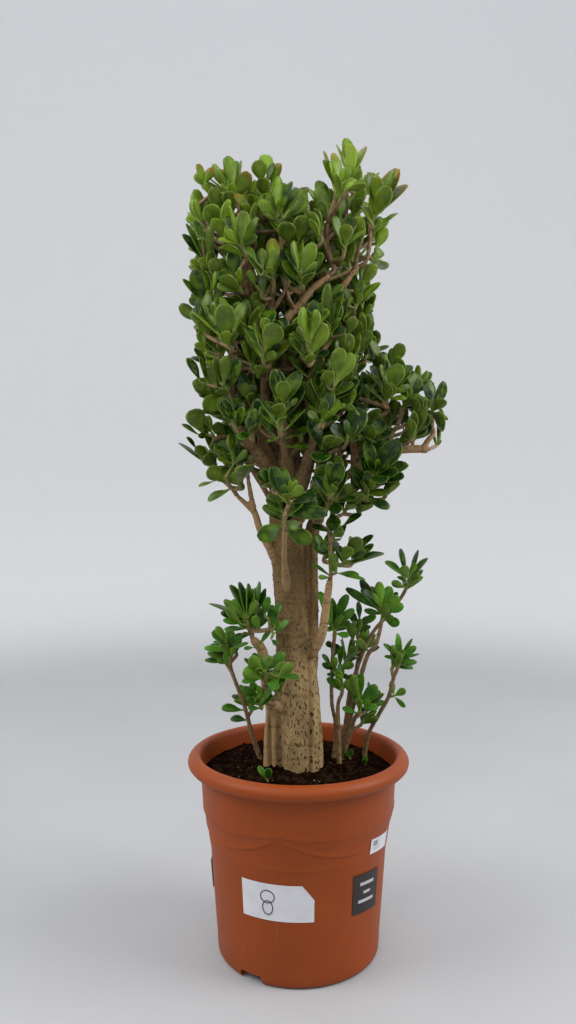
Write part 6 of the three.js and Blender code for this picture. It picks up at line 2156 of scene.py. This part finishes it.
class JADE_OT_stickers(bpy.types.Operator):
    """Builds the stickers on the pot"""

    bl_idname = "jade.stickers"
    bl_label = "Stickers"
    bl_options = {"REGISTER", "UNDO"}

    def execute(self, context):
        """Wraps four sheets on the wall and draws the number."""
        settings = context.scene.jade_pot
        paper, ink = settings.paper, settings.ink
        worn = [c * 0.88 for c in paper]
        lines = [(0.48, 0.84, 0.12, 0.36)]
        lines += [(0.40 - 0.09 * i, 0.43 - 0.09 * i, 0.12, 0.52 - 0.06 * (i % 2)) for i in range(3)]
        bars = [(0.70, 0.78, 0.24, 0.80), (0.48, 0.55, 0.38, 0.66), (0.26, 0.34, 0.20, 0.82)]
        looks = {
            "paper_label": sheet_look("label_paper", paper, worn, 0.6),
            "white_sticker": sheet_look("small_sticker", paper, worn, 0.6, lines, [c * 0.4 for c in paper]),
            "dark_sticker": sheet_look("dark_sticker", settings.dark, [c * 1.5 for c in settings.dark],
                                       0.4, bars, [c * 0.7 for c in paper]),
            "side_sticker": sheet_look("side_sticker", [c * 2 for c in settings.dark], settings.dark, 0.4),
        }
        cut = ((0.92, 0.80, 0), (0.40, 0.16, 0))
        for name, sheet in STICKERS.items():
            obj = sheet_piece(name + "_sheet", sheet, cut if name == "paper_label" else None)
            dress(obj, looks[name])
            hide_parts(name)
        ink_look = sheet_look("pen_ink", ink, [c * 1.4 for c in ink], 0.4)
        dress(pen_number(STICKERS["paper_label"], ink_look))
        return {"FINISHED"}


def sweep_look(colours):
    """Matt floor paint that turns into a brighter wall behind and a dim one on the near side."""
    look, tree, shader, spot = new_look("pale_floor", 0.7, Specular_IOR_Level=0.3)
    cloud = mottled(tree, spot, 3.0, 4.0, 0.2, 0.8, rgb(colours.floor), rgb(colours.floor, 0.95))
    depth = add(tree, "ShaderNodeSeparateXYZ", None, {0: spot}).outputs[1]
    wall = blend(tree, rise(tree, depth, 0.6, -1.8), rgb(colours.wall), rgb(colours.dim))
    away = add(tree, "ShaderNodeVectorMath", {"operation": "LENGTH"}, {0: spot}).outputs["Value"]
    finish_look(tree, shader, blend(tree, rise(tree, away, 1.7, 3.2), cloud.outputs["Colour"], wall))
    return look


# The floor and the wall that it sweeps up into, as (radius, height).
SWEEP_RINGS = ((400, 0), (1600, 0), (2600, 0), (2950, 30), (3200, 120), (3400, 300), (3520, 600),
               (3560, 1000), (3560, 2200), (3560, 3800))
SWEEP_TOP = 3790            # everything above is opened
# Lamps: place, size and share of the key light.
LAMPS = {"left_lamp": ((-2.1, -0.7, 2.2), 1.5, 1.0), "right_lamp": ((2.2, -0.5, 1.9), 1.5, 1.2),
         "front_lamp": ((-0.5, -2.7, 2.0), 1.8, 0.45)}
LAMPS_AIM = (0, 0, 0.6)


class JADE_OT_stage(bpy.types.Operator):
    """Builds the pale floor and sweep, the lights and the camera"""

    bl_idname = "jade.stage"
    bl_label = "Stage"
    bl_options = {"REGISTER", "UNDO"}

    def execute(self, context):
        """Makes a round sweep, an even sky, three soft lamps and the camera."""
        settings = context.scene.jade_stage
        sweep = turned_form("floor_sweep", SWEEP_RINGS, 96)
        select_faces(sweep, lambda c, n: c.z / MM > SWEEP_TOP)
        bpy.ops.mesh.delete(type="FACE")
        bpy.ops.mesh.select_all(action="SELECT")
        bpy.ops.mesh.flip_normals()
        close_edit()
        sweep.data.materials.append(sweep_look(settings))
        world = bpy.data.worlds.new("even_sky")
        world.use_nodes = True
        sky = world.node_tree.nodes["Background"].inputs
        sky["Color"].default_value = (0.93, 0.96, 1.0, 1.0)
        sky["Strength"].default_value = settings.sky
        context.scene.world = world
        context.scene.view_settings.view_transform = "Standard"
        for name, (spot, size, share) in LAMPS.items():
            clear_selection()
            bpy.ops.object.light_add(type="AREA", location=spot)
            lamp = context.object
            lamp.name = name
            lamp.data.size = size
            lamp.data.energy = settings.key * share
            lamp.rotation_mode = "QUATERNION"
            lamp.rotation_quaternion = (Vector(LAMPS_AIM) - Vector(spot)).to_track_quat("-Z", "Y")
        clear_selection()
        bpy.ops.object.camera_add(location=tuple(EYE * MM), rotation=(math.pi / 2 - settings.pitch, 0, 0))
        camera = context.object
        camera.name = "front_camera"
        camera.data.lens = settings.lens
        camera.data.sensor_width = 36
        camera.data.clip_end = 20
        context.scene.camera = camera
        return {"FINISHED"}


class JADE_PT_panel(bpy.types.Panel):
    """Lists the pieces of the potted jade plant"""

    bl_idname = "JADE_PT_panel"
    bl_label = "Potted Jade Plant"
    bl_space_type = "VIEW_3D"
    bl_region_type = "UI"
    bl_category = "Jade"

    def draw(self, context):
        """Shows the settings, then one button for each group of pieces."""
        for holder in SETTINGS:
            settings = getattr(context.scene, holder)
            box = self.layout.box()
            box.label(text=holder.removeprefix("jade_").capitalize())
            for name in settings.bl_rna.properties.keys():
                if name not in {"rna_type", "name"}:
                    box.prop(settings, name)
        for operator in OPERATORS:
            self.layout.operator(operator.bl_idname)


OPERATORS = (JADE_OT_stage, JADE_OT_pot, JADE_OT_soil, JADE_OT_stickers, JADE_OT_wood, JADE_OT_crown,
             JADE_OT_far_side, JADE_OT_suckers)
SETTINGS = {"jade_leaf": LeafSettings, "jade_bark": BarkSettings, "jade_pot": PotSettings,
            "jade_stage": StageSettings}


def register():
    """Registers the settings, the operators and the panel."""
    for cls in (*SETTINGS.values(), *OPERATORS, JADE_PT_panel):
        bpy.utils.register_class(cls)
    for name, cls in SETTINGS.items():
        setattr(bpy.types.Scene, name, PointerProperty(type=cls))


def unregister():
    """Takes back what register did."""
    for name in SETTINGS:
        delattr(bpy.types.Scene, name)
    for cls in reversed((*SETTINGS.values(), *OPERATORS, JADE_PT_panel)):
        bpy.utils.unregister_class(cls)


def main():
    """Builds everything in order."""
    register()
    bpy.ops.jade.stage()
    bpy.ops.jade.pot()
    bpy.ops.jade.soil()
    bpy.ops.jade.stickers()
    bpy.ops.jade.wood()
    bpy.ops.jade.crown()
    bpy.ops.jade.far_side()
    bpy.ops.jade.suckers()
    SharedParts.clear_masters()


if __name__ == "__main__":
    main()
